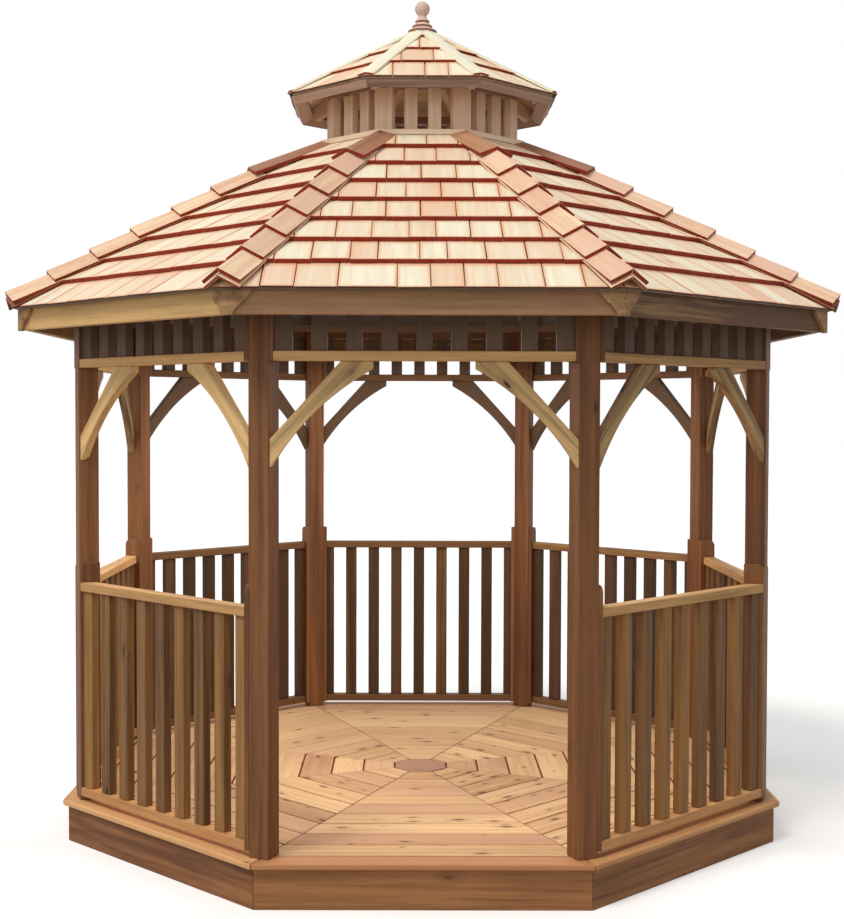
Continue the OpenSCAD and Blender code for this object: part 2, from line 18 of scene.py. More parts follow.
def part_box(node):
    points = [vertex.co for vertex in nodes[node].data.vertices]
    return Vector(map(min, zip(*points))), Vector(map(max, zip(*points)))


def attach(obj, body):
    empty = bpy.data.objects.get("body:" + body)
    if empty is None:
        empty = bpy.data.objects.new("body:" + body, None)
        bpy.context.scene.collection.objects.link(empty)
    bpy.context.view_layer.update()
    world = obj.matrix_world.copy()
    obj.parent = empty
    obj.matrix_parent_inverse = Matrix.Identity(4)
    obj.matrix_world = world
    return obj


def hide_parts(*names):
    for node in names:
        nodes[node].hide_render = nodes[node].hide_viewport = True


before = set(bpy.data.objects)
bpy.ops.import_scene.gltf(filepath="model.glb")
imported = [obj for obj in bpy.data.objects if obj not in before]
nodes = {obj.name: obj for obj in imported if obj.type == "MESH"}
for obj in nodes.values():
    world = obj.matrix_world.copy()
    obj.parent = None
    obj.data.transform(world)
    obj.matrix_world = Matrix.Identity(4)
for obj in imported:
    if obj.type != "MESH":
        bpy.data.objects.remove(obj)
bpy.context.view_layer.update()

# %% [markdown]
# ## The camera
# The picture was taken from eye level, straight in front of the entrance, about seven metres from the
# middle. The place, the tilt and the focal length below were worked out from the corners of the posts,
# rails and eaves. The lens axis misses the middle of the picture by a few pixels, and a small lens shift
# puts that right.

# %% Camera
PICTURE_W = 844
PICTURE_H = 919
SENSOR = 36
FOCAL_PIXELS = 1458.2
AXIS_PIXEL = Vector((411.8, 464.1))
EYE = Vector((-0.054, -7.175, 1.908))
YAW = 0.0011
DIP = 0.0320
ROLL = 0.0025

camera = bpy.data.objects.new("camera", bpy.data.cameras.new("camera"))
long_side = max(PICTURE_W, PICTURE_H)
camera.data.sensor_width = SENSOR
camera.data.lens = FOCAL_PIXELS * SENSOR / long_side
camera.data.shift_x = (PICTURE_W / 2 - AXIS_PIXEL.x) / long_side
camera.data.shift_y = (AXIS_PIXEL.y - PICTURE_H / 2) / long_side
level = Matrix.Rotation(-YAW, 4, "Z") @ Matrix.Rotation(math.pi / 2 - DIP, 4, "X")
camera.matrix_world = Matrix.Translation(EYE) @ level @ Matrix.Rotation(ROLL, 4, "Z")
bpy.context.scene.collection.objects.link(camera)
bpy.context.scene.camera = camera
bpy.context.scene.view_settings.view_transform = "Standard"
print("The lens is", round(camera.data.lens, 2), "mm")

# %% [markdown]
# ## Helpers for materials
# Every finish here is a small network of nodes. Adding a node, setting its sockets and linking it are the
# same few lines each time, so helpers do that: a value that is itself a socket is linked, and any other
# value is written into the socket. The colour sockets of a Mix node share their names with others of that
# node, so they are picked by number.

# %% Node helpers
MIX_FIRST = 6
MIX_SECOND = 7
MIX_RESULT = 2


def fill(tree, node, sockets):
    """Links or writes each of the sockets that are given."""
    for socket, value in sockets.items():
        if isinstance(value, bpy.types.NodeSocket):
            tree.links.new(value, node.inputs[socket])
        else:
            node.inputs[socket].default_value = value


def add(tree, kind, sockets=None, **options):
    """Adds a shader node, sets its options and fills its sockets."""
    node = tree.nodes.new("ShaderNode" + kind)
    for option, value in options.items():
        setattr(node, option, value)
    fill(tree, node, sockets or {})
    return node


def maths(tree, operation, first, second, third=0.0):
    """One Math node, as a socket."""
    return add(tree, "Math", {0: first, 1: second, 2: third}, operation=operation).outputs[0]


def ramp(tree, value, low, high, to_low=0.0, to_high=1.0):
    """Rescales a value and keeps it in range, as a socket."""
    sockets = {"Value": value, "From Min": low, "From Max": high, "To Min": to_low, "To Max": to_high}
    return add(tree, "MapRange", sockets).outputs["Result"]


def blend(tree, factor, first, second):
    """Mixes two colours, as a socket."""
    sockets = {"Factor": factor}
    for number, colour in ((MIX_FIRST, first), (MIX_SECOND, second)):
        sockets[number] = colour if isinstance(colour, bpy.types.NodeSocket) else (*colour, 1)
    return add(tree, "Mix", sockets, data_type="RGBA").outputs[MIX_RESULT]


def start_material(name):
    """A new material and its node tree, with the Principled shader ready."""
    material = bpy.data.materials.new(name)
    material.use_nodes = True
    return material, material.node_tree, material.node_tree.nodes["Principled BSDF"]

# %% [markdown]
# ## The floor
# A pale studio floor carries the shadow and runs into a white background. It shows white to the camera
# but throws back less light than white paper would, because the underside of the real roof is dark. A
# grid of one face is enough for it. Its material has two colours, picked by the kind of ray, and a small
# glow that only the camera sees, so the floor turns white without lighting the wood.

# %% Floor
WHITE = (1, 1, 1, 1)
FLOOR_HALF = 40
FLOOR_SHOWN = (0.92, 0.92, 0.91)
FLOOR_BOUNCE = (0.32, 0.30, 0.27)
FLOOR_GLOW = 0.28


def shown(tree):
    """A socket that is 1 for what the camera sees, also in a shine or through glass, and otherwise 0."""
    path = add(tree, "LightPath").outputs
    direct = maths(tree, "MAXIMUM", path["Is Camera Ray"], path["Is Glossy Ray"])
    return maths(tree, "MAXIMUM", direct, path["Is Transmission Ray"])


floor_paint, tree, shader = start_material("studio_floor")
seen = shown(tree)
fill(tree, shader, {
    "Base Color": blend(tree, seen, FLOOR_BOUNCE, FLOOR_SHOWN),
    "Emission Color": WHITE,
    "Emission Strength": maths(tree, "MULTIPLY", seen, FLOOR_GLOW),
    "Roughness": 0.9,
    "Specular IOR Level": 0.1,
})

sheet = bmesh.new()
bmesh.ops.create_grid(sheet, x_segments=1, y_segments=1, size=FLOOR_HALF)
floor_mesh = bpy.data.meshes.new("studio_floor")
sheet.to_mesh(floor_mesh)
sheet.free()
floor_mesh.materials.append(floor_paint)
floor = bpy.data.objects.new("studio_floor", floor_mesh)
bpy.context.scene.collection.objects.link(floor)
print("The floor is", 2 * FLOOR_HALF, "m wide")

# %% [markdown]
# ## The sky
# The gazebo stands in the even light of a bright day, and most of that light comes from all round. A
# picture of a sky could give it, but one plain Background node is enough and tints nothing. It is dimmer
# as a light than as a background: the camera sees white, and the wood keeps its colours.

# %% Sky
SKY_STRENGTH = 0.45

world = bpy.data.worlds.new("studio_sky")
bpy.context.scene.world = world
world.use_nodes = True
tree = world.node_tree
strength = ramp(tree, shown(tree), 0, 1, SKY_STRENGTH, 1.0)
fill(tree, tree.nodes["Background"], {"Color": WHITE, "Strength": strength})
print("Sky strength", SKY_STRENGTH)

# %% [markdown]
# ## The lamps
# A soft sun stands high on the left and gives the left-hand sides their golden light. A weak, broad fill
# from the front reaches the posts at the back, and a soft disk under the roof lifts the deck, which the
# open bays light in life. Far lamps shine evenly, so they need only an angle. Together with the sky they
# come to about white.

# %% Lamps
def far_lamp(name, strength, height, left, spread, colour):
    """A far lamp at a height above the horizon and an angle to the left of the camera, in degrees."""
    lamp = bpy.data.objects.new(name, bpy.data.lights.new(name, "SUN"))
    lamp.data.energy = strength
    lamp.data.angle = math.radians(spread)
    lamp.data.color = colour
    lamp.rotation_euler = (math.radians(90 - height), 0, math.radians(-left))
    bpy.context.scene.collection.objects.link(lamp)


far_lamp("sun", strength=1.6, height=54, left=42, spread=20, colour=(1, 0.97, 0.92))
far_lamp("front_fill", strength=0.50, height=12, left=18, spread=50, colour=(1, 0.98, 0.95))

LAMP_SIZE = 2.5
LAMP_HEIGHT = 2.25
LAMP_POWER = 46
LAMP_COLOUR = (1, 0.95, 0.88)
lamp = bpy.data.objects.new("under_roof", bpy.data.lights.new("under_roof", "AREA"))
lamp.data.shape = "DISK"
lamp.data.size = LAMP_SIZE
lamp.data.energy = LAMP_POWER
lamp.data.color = LAMP_COLOUR
lamp.location = (0, 0, LAMP_HEIGHT)
lamp.visible_camera = False
bpy.context.scene.collection.objects.link(lamp)

# %% [markdown]
# ## Grain and knots
# Cedar is streaky: long pale and deep lines along the board, with small dark knots and now and then a
# pink board. A pattern on plain object coordinates would run the same way through every piece, so each
# board keeps its own coordinates in an attribute called grain, with x along the board, and three numbers
# in an attribute called lot: how pale the board is, how pink it is and how knotty it is. They are drawn
# by chance unless a tone or a pink is given, and many given tones paint light and shade bay by bay. A
# noise on stretched coordinates makes streaks and fibres. Cells that have a dark heart by chance make
# knots.

# %% Grain and knots
WANDER_STRETCH = (0.9, 5, 5)
WANDER = (0, 0.035, 0.035)
KNOT_STRETCH = (6, 15, 15)
KNOT_SMALLEST = 0.35
KNOT_SPREAD = 1.1
KNOT_CORE = 0.08
HALO = {"reach": 0.36, "strength": 0.4, "shade": (0.62, 0.50, 0.40)}
HEART = {"reach": 0.14, "strength": 0.85, "shade": (0.26, 0.16, 0.12)}


def own(tree, attribute):
    """A vector that a board keeps as an attribute, as a socket."""
    return add(tree, "Attribute", attribute_name=attribute).outputs["Vector"]


def scaled(tree, vector, stretch):
    """A vector socket stretched by a different amount along each axis."""
    return add(tree, "VectorMath", {0: vector, 1: stretch}, operation="MULTIPLY").outputs["Vector"]


def noise(tree, vector, detail, rough=0.55):
    """A noise pattern, as a socket."""
    sockets = {"Vector": vector, "Scale": 1.0, "Detail": detail, "Roughness": rough}
    return add(tree, "TexNoise", sockets).outputs["Fac"]


def bend(tree, grain):
    """The grain bent gently to and fro, so that no streak is dead straight."""
    sockets = {"Vector": scaled(tree, grain, WANDER_STRETCH), "Scale": 1.0, "Detail": 2.0}
    sway = add(tree, "TexNoise", sockets).outputs["Color"]
    bent = add(tree, "VectorMath", {0: sway, 1: WANDER, 2: grain}, operation="MULTIPLY_ADD")
    return bent.outputs["Vector"]


def with_knots(tree, wood, deep, bent, knotty, space):
    """A wood with knots of different sizes, each with a brown halo and a dark heart."""
    sockets = {"Vector": scaled(tree, bent, KNOT_STRETCH), "Scale": 1.0}
    cells = add(tree, "TexVoronoi", sockets, voronoi_dimensions=space).outputs
    chances = add(tree, "SeparateColor", {0: cells["Color"]}).outputs
    has_knot = maths(tree, "LESS_THAN", chances[0], knotty)
    size = maths(tree, "MULTIPLY_ADD", chances[1], KNOT_SPREAD, KNOT_SMALLEST)
    away = maths(tree, "DIVIDE", cells["Distance"], size)
    for ring in (HALO, HEART):
        mask = maths(tree, "MULTIPLY", ramp(tree, away, ring["reach"], KNOT_CORE), has_knot)
        dark = [share * part for share, part in zip(ring["shade"], deep)]
        wood = blend(tree, maths(tree, "MULTIPLY", mask, ring["strength"]), wood, dark)
    return wood


print("Knots differ in size by up to", round(1 + KNOT_SPREAD / KNOT_SMALLEST, 1), "times")

# %% [markdown]
# ## Red cedar
# Every board of the gazebo is the same wood in another shade, so one function makes every finish from a
# pale, a deep and a pink colour. Streaks, fibres, soft patches and the board's own tone, which is often
# painted light and shade, are added up to one number that runs from deep to pale. Split shingles also
# have warm rims along their sides and at the butt, and a warm band under the course above that is partly
# stain and partly painted shade; those follow an attribute called spot: the place across, half the width
# and the place along.

# %% Cedar
STREAK_STRETCH = (1.1, 34, 34)
STREAK_RANGE = (0.32, 0.68)
STREAK_SHARE = 0.7
STREAK_RELIEF = 0.7
FIBRE_STRETCH = (11, 380, 380)
FIBRE_RELIEF = 0.5
PATCH_STRETCH = (1.4, 4, 4)
PATCH_SHARE = 0.5
PINK_BOARDS = (0.45, 1.0)
PINK_PATCHES = (0.2, 0.7)
ROUGHNESS = (0.25, 0.75, 0.74, 0.52)
EXPOSURE = 0.200
RIM_SIDES = (0.016, 0.001)
RIM_BUTT = (0.016, 0.002)
# Partly stain and partly painted shade: a warm band just below the butt of the course above.
RIM_TOP_STAIN_AND_SHADE = (EXPOSURE - 0.03, EXPOSURE - 0.004)
RIM_PATCHES = (0.25, 0.7, 0.35, 0.95)


def with_rim(tree, wood, rim, patches):
    """A wood with a warm rim on the sides and the butt of a shingle, and a warm covered end whose visible
    edge below the course above is partly stain and partly painted shade.
    """
    spot = add(tree, "SeparateXYZ", {0: own(tree, "spot")}).outputs
    inside = maths(tree, "SUBTRACT", spot["Y"], maths(tree, "ABSOLUTE", spot["X"], 0))
    warm = ramp(tree, inside, *RIM_SIDES)
    for end in (RIM_BUTT, RIM_TOP_STAIN_AND_SHADE):
        warm = maths(tree, "MAXIMUM", warm, ramp(tree, spot["Z"], *end))
    return blend(tree, maths(tree, "MULTIPLY", warm, ramp(tree, patches, *RIM_PATCHES)), wood, rim)


def cedar(name, pale, deep, blush, knots=0.10, spread=0.7, streak=1.0, fibre=0.35, rim=None,
          knot_space="3D"):
    """Sawn cedar with streaks, fibres and knots, a tone for each board and perhaps a warm rim."""
    material, tree, shader = start_material(name)
    grain = own(tree, "grain")
    lot = add(tree, "SeparateXYZ", {0: own(tree, "lot")}).outputs
    bent = bend(tree, grain)
    streaks = noise(tree, scaled(tree, bent, STREAK_STRETCH), detail=5.0, rough=0.62)
    fibres = noise(tree, scaled(tree, grain, FIBRE_STRETCH), detail=2.0)
    patches = noise(tree, scaled(tree, grain, PATCH_STRETCH), detail=2.0)
    half_share = STREAK_SHARE * streak / 2
    light = ramp(tree, streaks, *STREAK_RANGE, 0.5 - half_share, 0.5 + half_share)
    for pattern, share in ((lot["X"], spread), (fibres, fibre), (patches, PATCH_SHARE)):
        light = maths(tree, "MULTIPLY_ADD", maths(tree, "SUBTRACT", pattern, 0.5), share, light)
    wood = blend(tree, ramp(tree, light, 0, 1), deep, pale)
    pink = maths(tree, "MULTIPLY", ramp(tree, lot["Y"], *PINK_BOARDS), ramp(tree, patches, *PINK_PATCHES))
    wood = blend(tree, pink, wood, blush)
    wood = with_knots(tree, wood, deep, bent, maths(tree, "MULTIPLY", lot["Z"], 2 * knots), knot_space)
    if rim:
        wood = with_rim(tree, wood, rim, patches)
    relief = maths(tree, "MULTIPLY", streaks, STREAK_RELIEF)
    relief = maths(tree, "MULTIPLY_ADD", fibres, FIBRE_RELIEF, relief)
    bump = add(tree, "Bump", {"Strength": 0.35, "Distance": 0.0015, "Height": relief})
    fill(tree, shader, {
        "Base Color": wood,
        "Roughness": ramp(tree, fibres, *ROUGHNESS),
        "Specular IOR Level": 0.3,
        "Normal": bump.outputs["Normal"],
    })
    return material


print("A course shows", EXPOSURE, "m of each shingle")

# %% [markdown]
# ## Finishes of the floor and the frame
# The posts and the skirt are the red heartwood, the deck, the rails and the braces are honey coloured,
# and the balusters are browner. What stands in the shade of the roof is a dull brown, the roof's shade
# painted into its colour. Deck boards are seen from above, so their knots are drawn in two dimensions,
# which keeps them whole. The gaps of the deck are dark red: the red of cut edges darkened by painted shade.

# %% Finishes of the floor and the frame
deck_wood = cedar("deck_wood", pale=(0.81, 0.53, 0.275), deep=(0.47, 0.25, 0.115),
                  blush=(0.53, 0.28, 0.17), knots=0.30, spread=0.9, fibre=0.5, knot_space="2D")
nosing_wood = cedar("nosing_wood", pale=(0.88, 0.525, 0.23), deep=(0.46, 0.20, 0.080),
                    blush=(0.60, 0.28, 0.14), knots=0.06, spread=1.0, knot_space="2D")
block_wood = cedar("block_wood", pale=(0.46, 0.25, 0.16), deep=(0.30, 0.15, 0.095),
                   blush=(0.40, 0.20, 0.135))
# Painted shade: the dark red of the gaps and of the plate under the deck.
gap_shade_wood = cedar("gap_shade_wood", pale=(0.46, 0.10, 0.045), deep=(0.28, 0.055, 0.025),
                 blush=(0.36, 0.07, 0.03), knots=0.0)
skirt_wood = cedar("skirt_wood", pale=(0.39, 0.172, 0.066), deep=(0.14, 0.051, 0.020),
                   blush=(0.23, 0.084, 0.037), spread=0.8, streak=1.5)
post_wood = cedar("post_wood", pale=(0.27, 0.112, 0.040), deep=(0.115, 0.043, 0.017),
                  blush=(0.19, 0.066, 0.030), knots=0.06, streak=1.3)
rail_wood = cedar("rail_wood", pale=(0.81, 0.47, 0.190), deep=(0.17, 0.080, 0.031),
                  blush=(0.52, 0.215, 0.082), knots=0.06, spread=1.3, streak=0.7)
spindle_wood = cedar("spindle_wood", pale=(0.36, 0.175, 0.055), deep=(0.064, 0.031, 0.012),
                     blush=(0.14, 0.062, 0.034), spread=1.1)
brace_wood = cedar("brace_wood", pale=(0.84, 0.55, 0.245), deep=(0.115, 0.063, 0.032),
                   blush=(0.50, 0.27, 0.13), knots=0.08, spread=1.1)
# Painted shade: the frieze under the eave is made a dull dark brown.
frieze_shade_wood = cedar("frieze_shade_wood", pale=(0.165, 0.100, 0.062), deep=(0.115, 0.070, 0.045),
                    blush=(0.14, 0.08, 0.05), spread=0.3)
# Painted shade: the timber under the roofs is made a dull brown.
inner_wood = cedar("inner_wood", pale=(0.34, 0.245, 0.18), deep=(0.25, 0.175, 0.128),
                   blush=(0.30, 0.195, 0.15), spread=0.3)
print("Made", len(bpy.data.materials), "materials")

# %% [markdown]
# ## Finishes of the roof
# The shingles are freshly split and almost cream, with orange rims and red butts; the dark red of the
# butts is end grain with painted shade in it. The butts along the eave are painted nearly black as the
# shade there. The hip caps are pinker, and the topmost ones darker. The strips under the caps and the
# fascia range from pale to deep.

# %% Finishes of the roof
shingle_wood = cedar("shingle_wood", pale=(0.98, 0.93, 0.72), deep=(0.87, 0.63, 0.42),
                     blush=(0.89, 0.57, 0.40), knots=0.03, rim=(0.88, 0.42, 0.21))
edge_wood = cedar("edge_wood", pale=(0.44, 0.14, 0.065), deep=(0.28, 0.075, 0.035),
                  blush=(0.36, 0.10, 0.05), knots=0.0)
# Partly real end grain and partly painted shade: the dark red of butts, ends and rims.
butt_end_and_shade_wood = cedar("butt_end_and_shade_wood", pale=(0.34, 0.034, 0.014), deep=(0.18, 0.016, 0.008),
                  blush=(0.26, 0.024, 0.01), knots=0.0)
# Painted shade: the eave course's butts are made nearly black.
eave_shade_wood = cedar("eave_shade_wood", pale=(0.10, 0.040, 0.024), deep=(0.05, 0.020, 0.012),
                  blush=(0.08, 0.028, 0.018), knots=0.0)
cap_wood = cedar("cap_wood", pale=(0.99, 0.74, 0.50), deep=(0.76, 0.46, 0.30),
                 blush=(0.82, 0.52, 0.39), knots=0.05, spread=0.6, streak=1.2, fibre=1.1)
top_cap_wood = cedar("top_cap_wood", pale=(0.56, 0.29, 0.16), deep=(0.28, 0.115, 0.062),
                     blush=(0.36, 0.16, 0.10), spread=0.8, streak=1.2)
strip_wood = cedar("strip_wood", pale=(0.88, 0.65, 0.42), deep=(0.30, 0.115, 0.050),
                   blush=(0.80, 0.50, 0.34), knots=0.0, spread=1.6)
fascia_wood = cedar("fascia_wood", pale=(0.76, 0.475, 0.20), deep=(0.130, 0.062, 0.030),
                    blush=(0.35, 0.172, 0.094), knots=0.06, spread=1.3)
print("Made", len(bpy.data.materials), "materials")

# %% [markdown]
# ## Finishes of the cupola
# The cupola's uprights are pale tan, its fascia and plate are a greyish mauve that paints their shade,
# and its hip boards are the palest wood of all. The finial is turned from a plain pinkish block, so it has
# hardly any range and no knots.

# %% Finishes of the cupola
cupola_wood = cedar("cupola_wood", pale=(0.96, 0.74, 0.54), deep=(0.70, 0.47, 0.32),
                    blush=(0.80, 0.54, 0.39), spread=0.5)
# Painted shade: the greyish mauve of the cupola's shaded fascia and plate.
mauve_shade_wood = cedar("mauve_shade_wood", pale=(0.60, 0.39, 0.30), deep=(0.19, 0.110, 0.085),
                   blush=(0.33, 0.19, 0.15), spread=0.9, streak=0.6)
pale_wood = cedar("pale_wood", pale=(0.96, 0.95, 0.76), deep=(0.88, 0.80, 0.58),
                  blush=(0.88, 0.78, 0.60), knots=0.02, spread=0.4)
turned_wood = cedar("turned_wood", pale=(0.82, 0.62, 0.51), deep=(0.66, 0.48, 0.39),
                    blush=(0.72, 0.53, 0.44), knots=0.0, spread=0.2)
print("Made", len(bpy.data.materials), "materials")

# %% [markdown]
# ## Boards
# Nearly everything on the gazebo is a sawn board. A cube is stretched to the board's size and its edges
# are eased, and before the board is laid in place its own coordinates are kept as the grain. Working in a
# small bmesh of its own keeps each board simple, and laying it copies it into the piece that it belongs
# to.

# %% Board helpers
SEED = 8
EASE = 0.003
SHARP = math.radians(20)
GRAIN_SHIFT = 20
TONE_SPREAD = 0.4
chance = random.Random(SEED)
scrap = bpy.data.meshes.new("scrap")


def start_piece(*more):
    """An empty piece that keeps the grain and the lot of each board laid into it."""
    piece = bmesh.new()
    for layer in ("grain", "lot", *more):
        piece.verts.layers.float_vector.new(layer)
    return piece


def ease(small, width=EASE, segments=2):
    """Takes the sharpness off a board's edges, without touching the facets of a curve."""
    sharp = [edge for edge in small.edges if edge.calc_face_angle(0) > SHARP]
    bmesh.ops.bevel(small, geom=sharp, offset=width, offset_type="OFFSET", segments=segments, profile=0.5,
                    affect="EDGES", material=-1, clamp_overlap=True)


def vary(tone):
    """A tone with some chance in it."""
    return tone + chance.uniform(-TONE_SPREAD, TONE_SPREAD)


def mark(small, verts=None, along=None, tone=None, pink=None):
    """Keeps a board's own coordinates as its grain and draws its lot, unless a tone or a pink is given."""
    layers = small.verts.layers.float_vector
    grain = layers.get("grain") or layers.new("grain")
    lot = layers.get("lot") or layers.new("lot")
    turn = along or Matrix.Identity(3)
    shift = Vector([chance.uniform(-GRAIN_SHIFT, GRAIN_SHIFT) for _ in range(3)])
    draw = Vector([chance.random() for _ in range(3)])
    draw.x = draw.x if tone is None else tone
    draw.y = draw.y if pink is None else pink
    for vert in verts or small.verts:
        vert[grain] = turn @ vert.co + shift
        vert[lot] = draw


def sawn(length, width, thick, tone):
    """A sawn board with its length along x."""
    small = bmesh.new()
    bmesh.ops.create_cube(small, size=1, matrix=Matrix.Diagonal((length, width, thick, 1)))
    ease(small)
    mark(small, tone=tone)
    return small


def lay(piece, small, place):
    """Moves a finished board to its place and adds it to the piece."""
    bmesh.ops.transform(small, matrix=place, verts=small.verts[:])
    small.to_mesh(scrap)
    small.free()
    piece.from_mesh(scrap)


def finish_piece(piece, name, materials, slot, *stands_for):
    """Turns a piece into an object that rides on the frame."""
    mesh = bpy.data.meshes.new(name)
    piece.to_mesh(mesh)
    piece.free()
    for material in materials:
        mesh.materials.append(material)
    thing = bpy.data.objects.new(name, mesh)
    bpy.context.scene.collection.objects.link(thing)
    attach(thing, "root")
    if stands_for:
        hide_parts(*stands_for)
    print(name, "has", len(mesh.polygons), "faces")


print("Edges are eased by", EASE * 1000, "mm")

# %% [markdown]
# ## The eight bays
# The plan is a regular octagon. Bay 0 is the entrance at the front and the bays run anticlockwise from
# above, so a piece is made once as if for the front and then turned by 45 degrees for each bay. Boards of
# one kind differ from bay to bay, partly in their own tone and partly in painted light and shade, so a
# list of eight tones gives each bay its own, and a small number for pink keeps the pink from showing.

# %% Bays
BAYS = ["front", "front_right", "right", "back_right", "back", "back_left", "left", "front_left"]
TURN = 2 * math.pi / len(BAYS)
HALF = TURN / 2
NO_PINK = 0.3


def at_bay(bay):
    """Turns something made for the front into a bay."""
    return Matrix.Rotation(bay * TURN, 4, "Z")


def at_corner(bay):
    """Turns something made on the front's middle line to the corner after a bay."""
    return Matrix.Rotation(bay * TURN + HALF, 4, "Z")


def at_height(z):
    """Lifts something made on the ground."""
    return Matrix.Translation((0, 0, z))


def plain(*tones):
    """Tones for the bays, each with too little pink to show."""
    return [(tone, NO_PINK) for tone in tones]


print("One bay turns by", round(math.degrees(TURN)), "degrees")

# %% [markdown]
# ## Mitred boards
# The deck, the rails and the sheathing all run round the octagon in boards whose ends are mitred at the
# corners. Each could be cut from a longer board, but a stretched cube with its inner long edge scaled
# shorter is the same shape: no cutting is needed. The taper says how fast the ends close in towards the
# middle.

# %% Mitred boards
def mitred(inner, outer, thick, joint, taper=math.tan(HALF), easing=EASE, tone=None, pink=None):
    """A board across the front with both ends mitred, between two distances from the middle."""
    small = bmesh.new()
    middle = -(inner + outer) / 2
    long_edge = 2 * (outer * taper - joint)
    short_edge = 2 * (inner * taper - joint)
    place = Matrix.Translation((0, middle, 0)) @ Matrix.Diagonal((long_edge, outer - inner, thick, 1))
    bmesh.ops.create_cube(small, size=1, matrix=place)
    inside = [vert for vert in small.verts if vert.co.y > middle]
    bmesh.ops.scale(small, vec=(short_edge / long_edge, 1, 1), verts=inside)
    ease(small, easing)
    mark(small, tone=tone, pink=pink)
    return small


print("Mitred ends slant by", math.degrees(HALF), "degrees")

# %% [markdown]
# ## The deck
# The floor is laid in rings of eight mitred boards, with a small gap between boards, round an eight-sided
# block in the middle. The outermost ring is the nosing, with rounder edges and the deck's full thickness.
# Under the other rings a plate closes the gaps; it stands for the bearers and for painted shade under the
# deck. It and the sides of the boards are dark red: cut cedar darkened by painted shade in the gaps. The
# boards at the back look paler, so their tones are higher: painted light against the roof's shade.

# %% Deck
CENTRE_FLAT = 0.131
RING_PITCH = 0.1525
BOARD_GAP = 0.008
MITRE_GAP = 0.0025
UNDER_T = 0.008
NOSING_EASE = 0.006
# Partly the boards' own tone and partly painted light and shade: the back nosing is painted paler and the
# front right darker.
NOSING_LIGHT_TONES = (-0.10, 0.30, 0.5, 0.95, 0.95, 0.95, 0.6, 0.8)
# Painted light: the boards at the back, in the roof's shade, are given higher tones.
DECK_LIGHT_TONES = (0.38, 0.45, 0.60, 0.75, 0.80, 0.75, 0.60, 0.45)
BOARD, BLOCK, NOSING, GAP_SHADE = range(4)
LYING = 0.2
FACING_IN = 0.9
deck_low, deck_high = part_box("floor_deck")
deck_flat = -deck_low.y
deck_t = deck_high.z - deck_low.z
board_t = deck_t - UNDER_T


def octagon(flat, thick, wood):
    """An eight-sided plate of one wood, from the distance between its middle and its sides."""
    small = bmesh.new()
    radius = flat / math.cos(HALF)
    bmesh.ops.create_cone(small, cap_ends=True, segments=len(BAYS), radius1=radius, radius2=radius,
                          depth=thick, matrix=Matrix.Rotation(HALF, 4, "Z"))
    for face in small.faces:
        face.material_index = wood
    return small


deck = start_piece()
ring_count = round((deck_flat - CENTRE_FLAT) / RING_PITCH)
edges = [CENTRE_FLAT + ring * RING_PITCH for ring in range(ring_count)] + [deck_flat]
rings = list(zip(edges, edges[1:]))
for inner, outer in rings[:-1]:
    for bay in range(len(BAYS)):
        small = mitred(inner, outer - BOARD_GAP, board_t, MITRE_GAP, tone=vary(DECK_LIGHT_TONES[bay]))
        for face in small.faces:
            face.material_index = BOARD if abs(face.normal.z) > LYING else GAP_SHADE
        lay(deck, small, at_bay(bay) @ at_height(deck_high.z - board_t / 2))
for bay in range(len(BAYS)):
    small = mitred(*rings[-1], deck_t, MITRE_GAP, easing=NOSING_EASE, tone=NOSING_LIGHT_TONES[bay])
    for face in small.faces:
        face.material_index = GAP_SHADE if face.normal.y > FACING_IN else NOSING
    lay(deck, small, at_bay(bay) @ at_height(deck_high.z - deck_t / 2))
block = octagon(CENTRE_FLAT - BOARD_GAP, board_t, BLOCK)
ease(block)
mark(block)
lay(deck, block, at_height(deck_high.z - board_t / 2))
# The dark plate under the rings stands for the bearers and a painted shade under the deck.
under = octagon(rings[-1][0], UNDER_T, GAP_SHADE)
mark(under)
lay(deck, under, at_height(deck_low.z + UNDER_T / 2))
print("The deck has", len(rings), "rings")
finish_piece(deck, "deck_boards", [deck_wood, block_wood, nosing_wood, gap_shade_wood], "deck_wood", "floor_deck")

# %% [markdown]
# ## Panels
# Each closed bay has a railing and every bay has a short frieze under the roof. Both are the same panel:
# two flat rails, seven balusters and two end stiles, standing at the outer edge of the posts. The rails
# are mitred boards like those of the deck, because the posts' faces slant across the bay. A stile is a
# cube whose outer side is sheared to the same slant.

# %% Panel helpers
RAIL_T = 0.038
BALUSTERS = 7
BALUSTER_W = 0.063
BALUSTER_T = 0.038
STILE_W = 0.060
# Painted light and shade: balusters at the back get deep tones for their shade, those in front and on the
# left higher ones.
UPRIGHT_LIGHT_TONES = (0.5, 0.50, 0.45, -0.1, -0.15, -0.1, 0.65, 0.80)
rail_low, rail_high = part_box("railing_back")
frieze_low, frieze_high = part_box("frieze_back")
end_joint = rail_high.y * math.tan(HALF) - rail_high.x
panel_flat = (rail_low.y + rail_high.y) / 2
panel_half = panel_flat * math.tan(HALF) - end_joint
upright = Matrix.Rotation(-math.pi / 2, 4, "Y")


def rails(bay, low, high, low_tone, high_tone):
    """The lower and upper rail of a panel, each with its tone and its pink."""
    piece = start_piece()
    for height, (tone, pink) in ((low + RAIL_T / 2, low_tone), (high - RAIL_T / 2, high_tone)):
        small = mitred(rail_low.y, rail_high.y, RAIL_T, end_joint, tone=tone, pink=pink)
        lay(piece, small, at_bay(bay) @ at_height(height))
    return piece


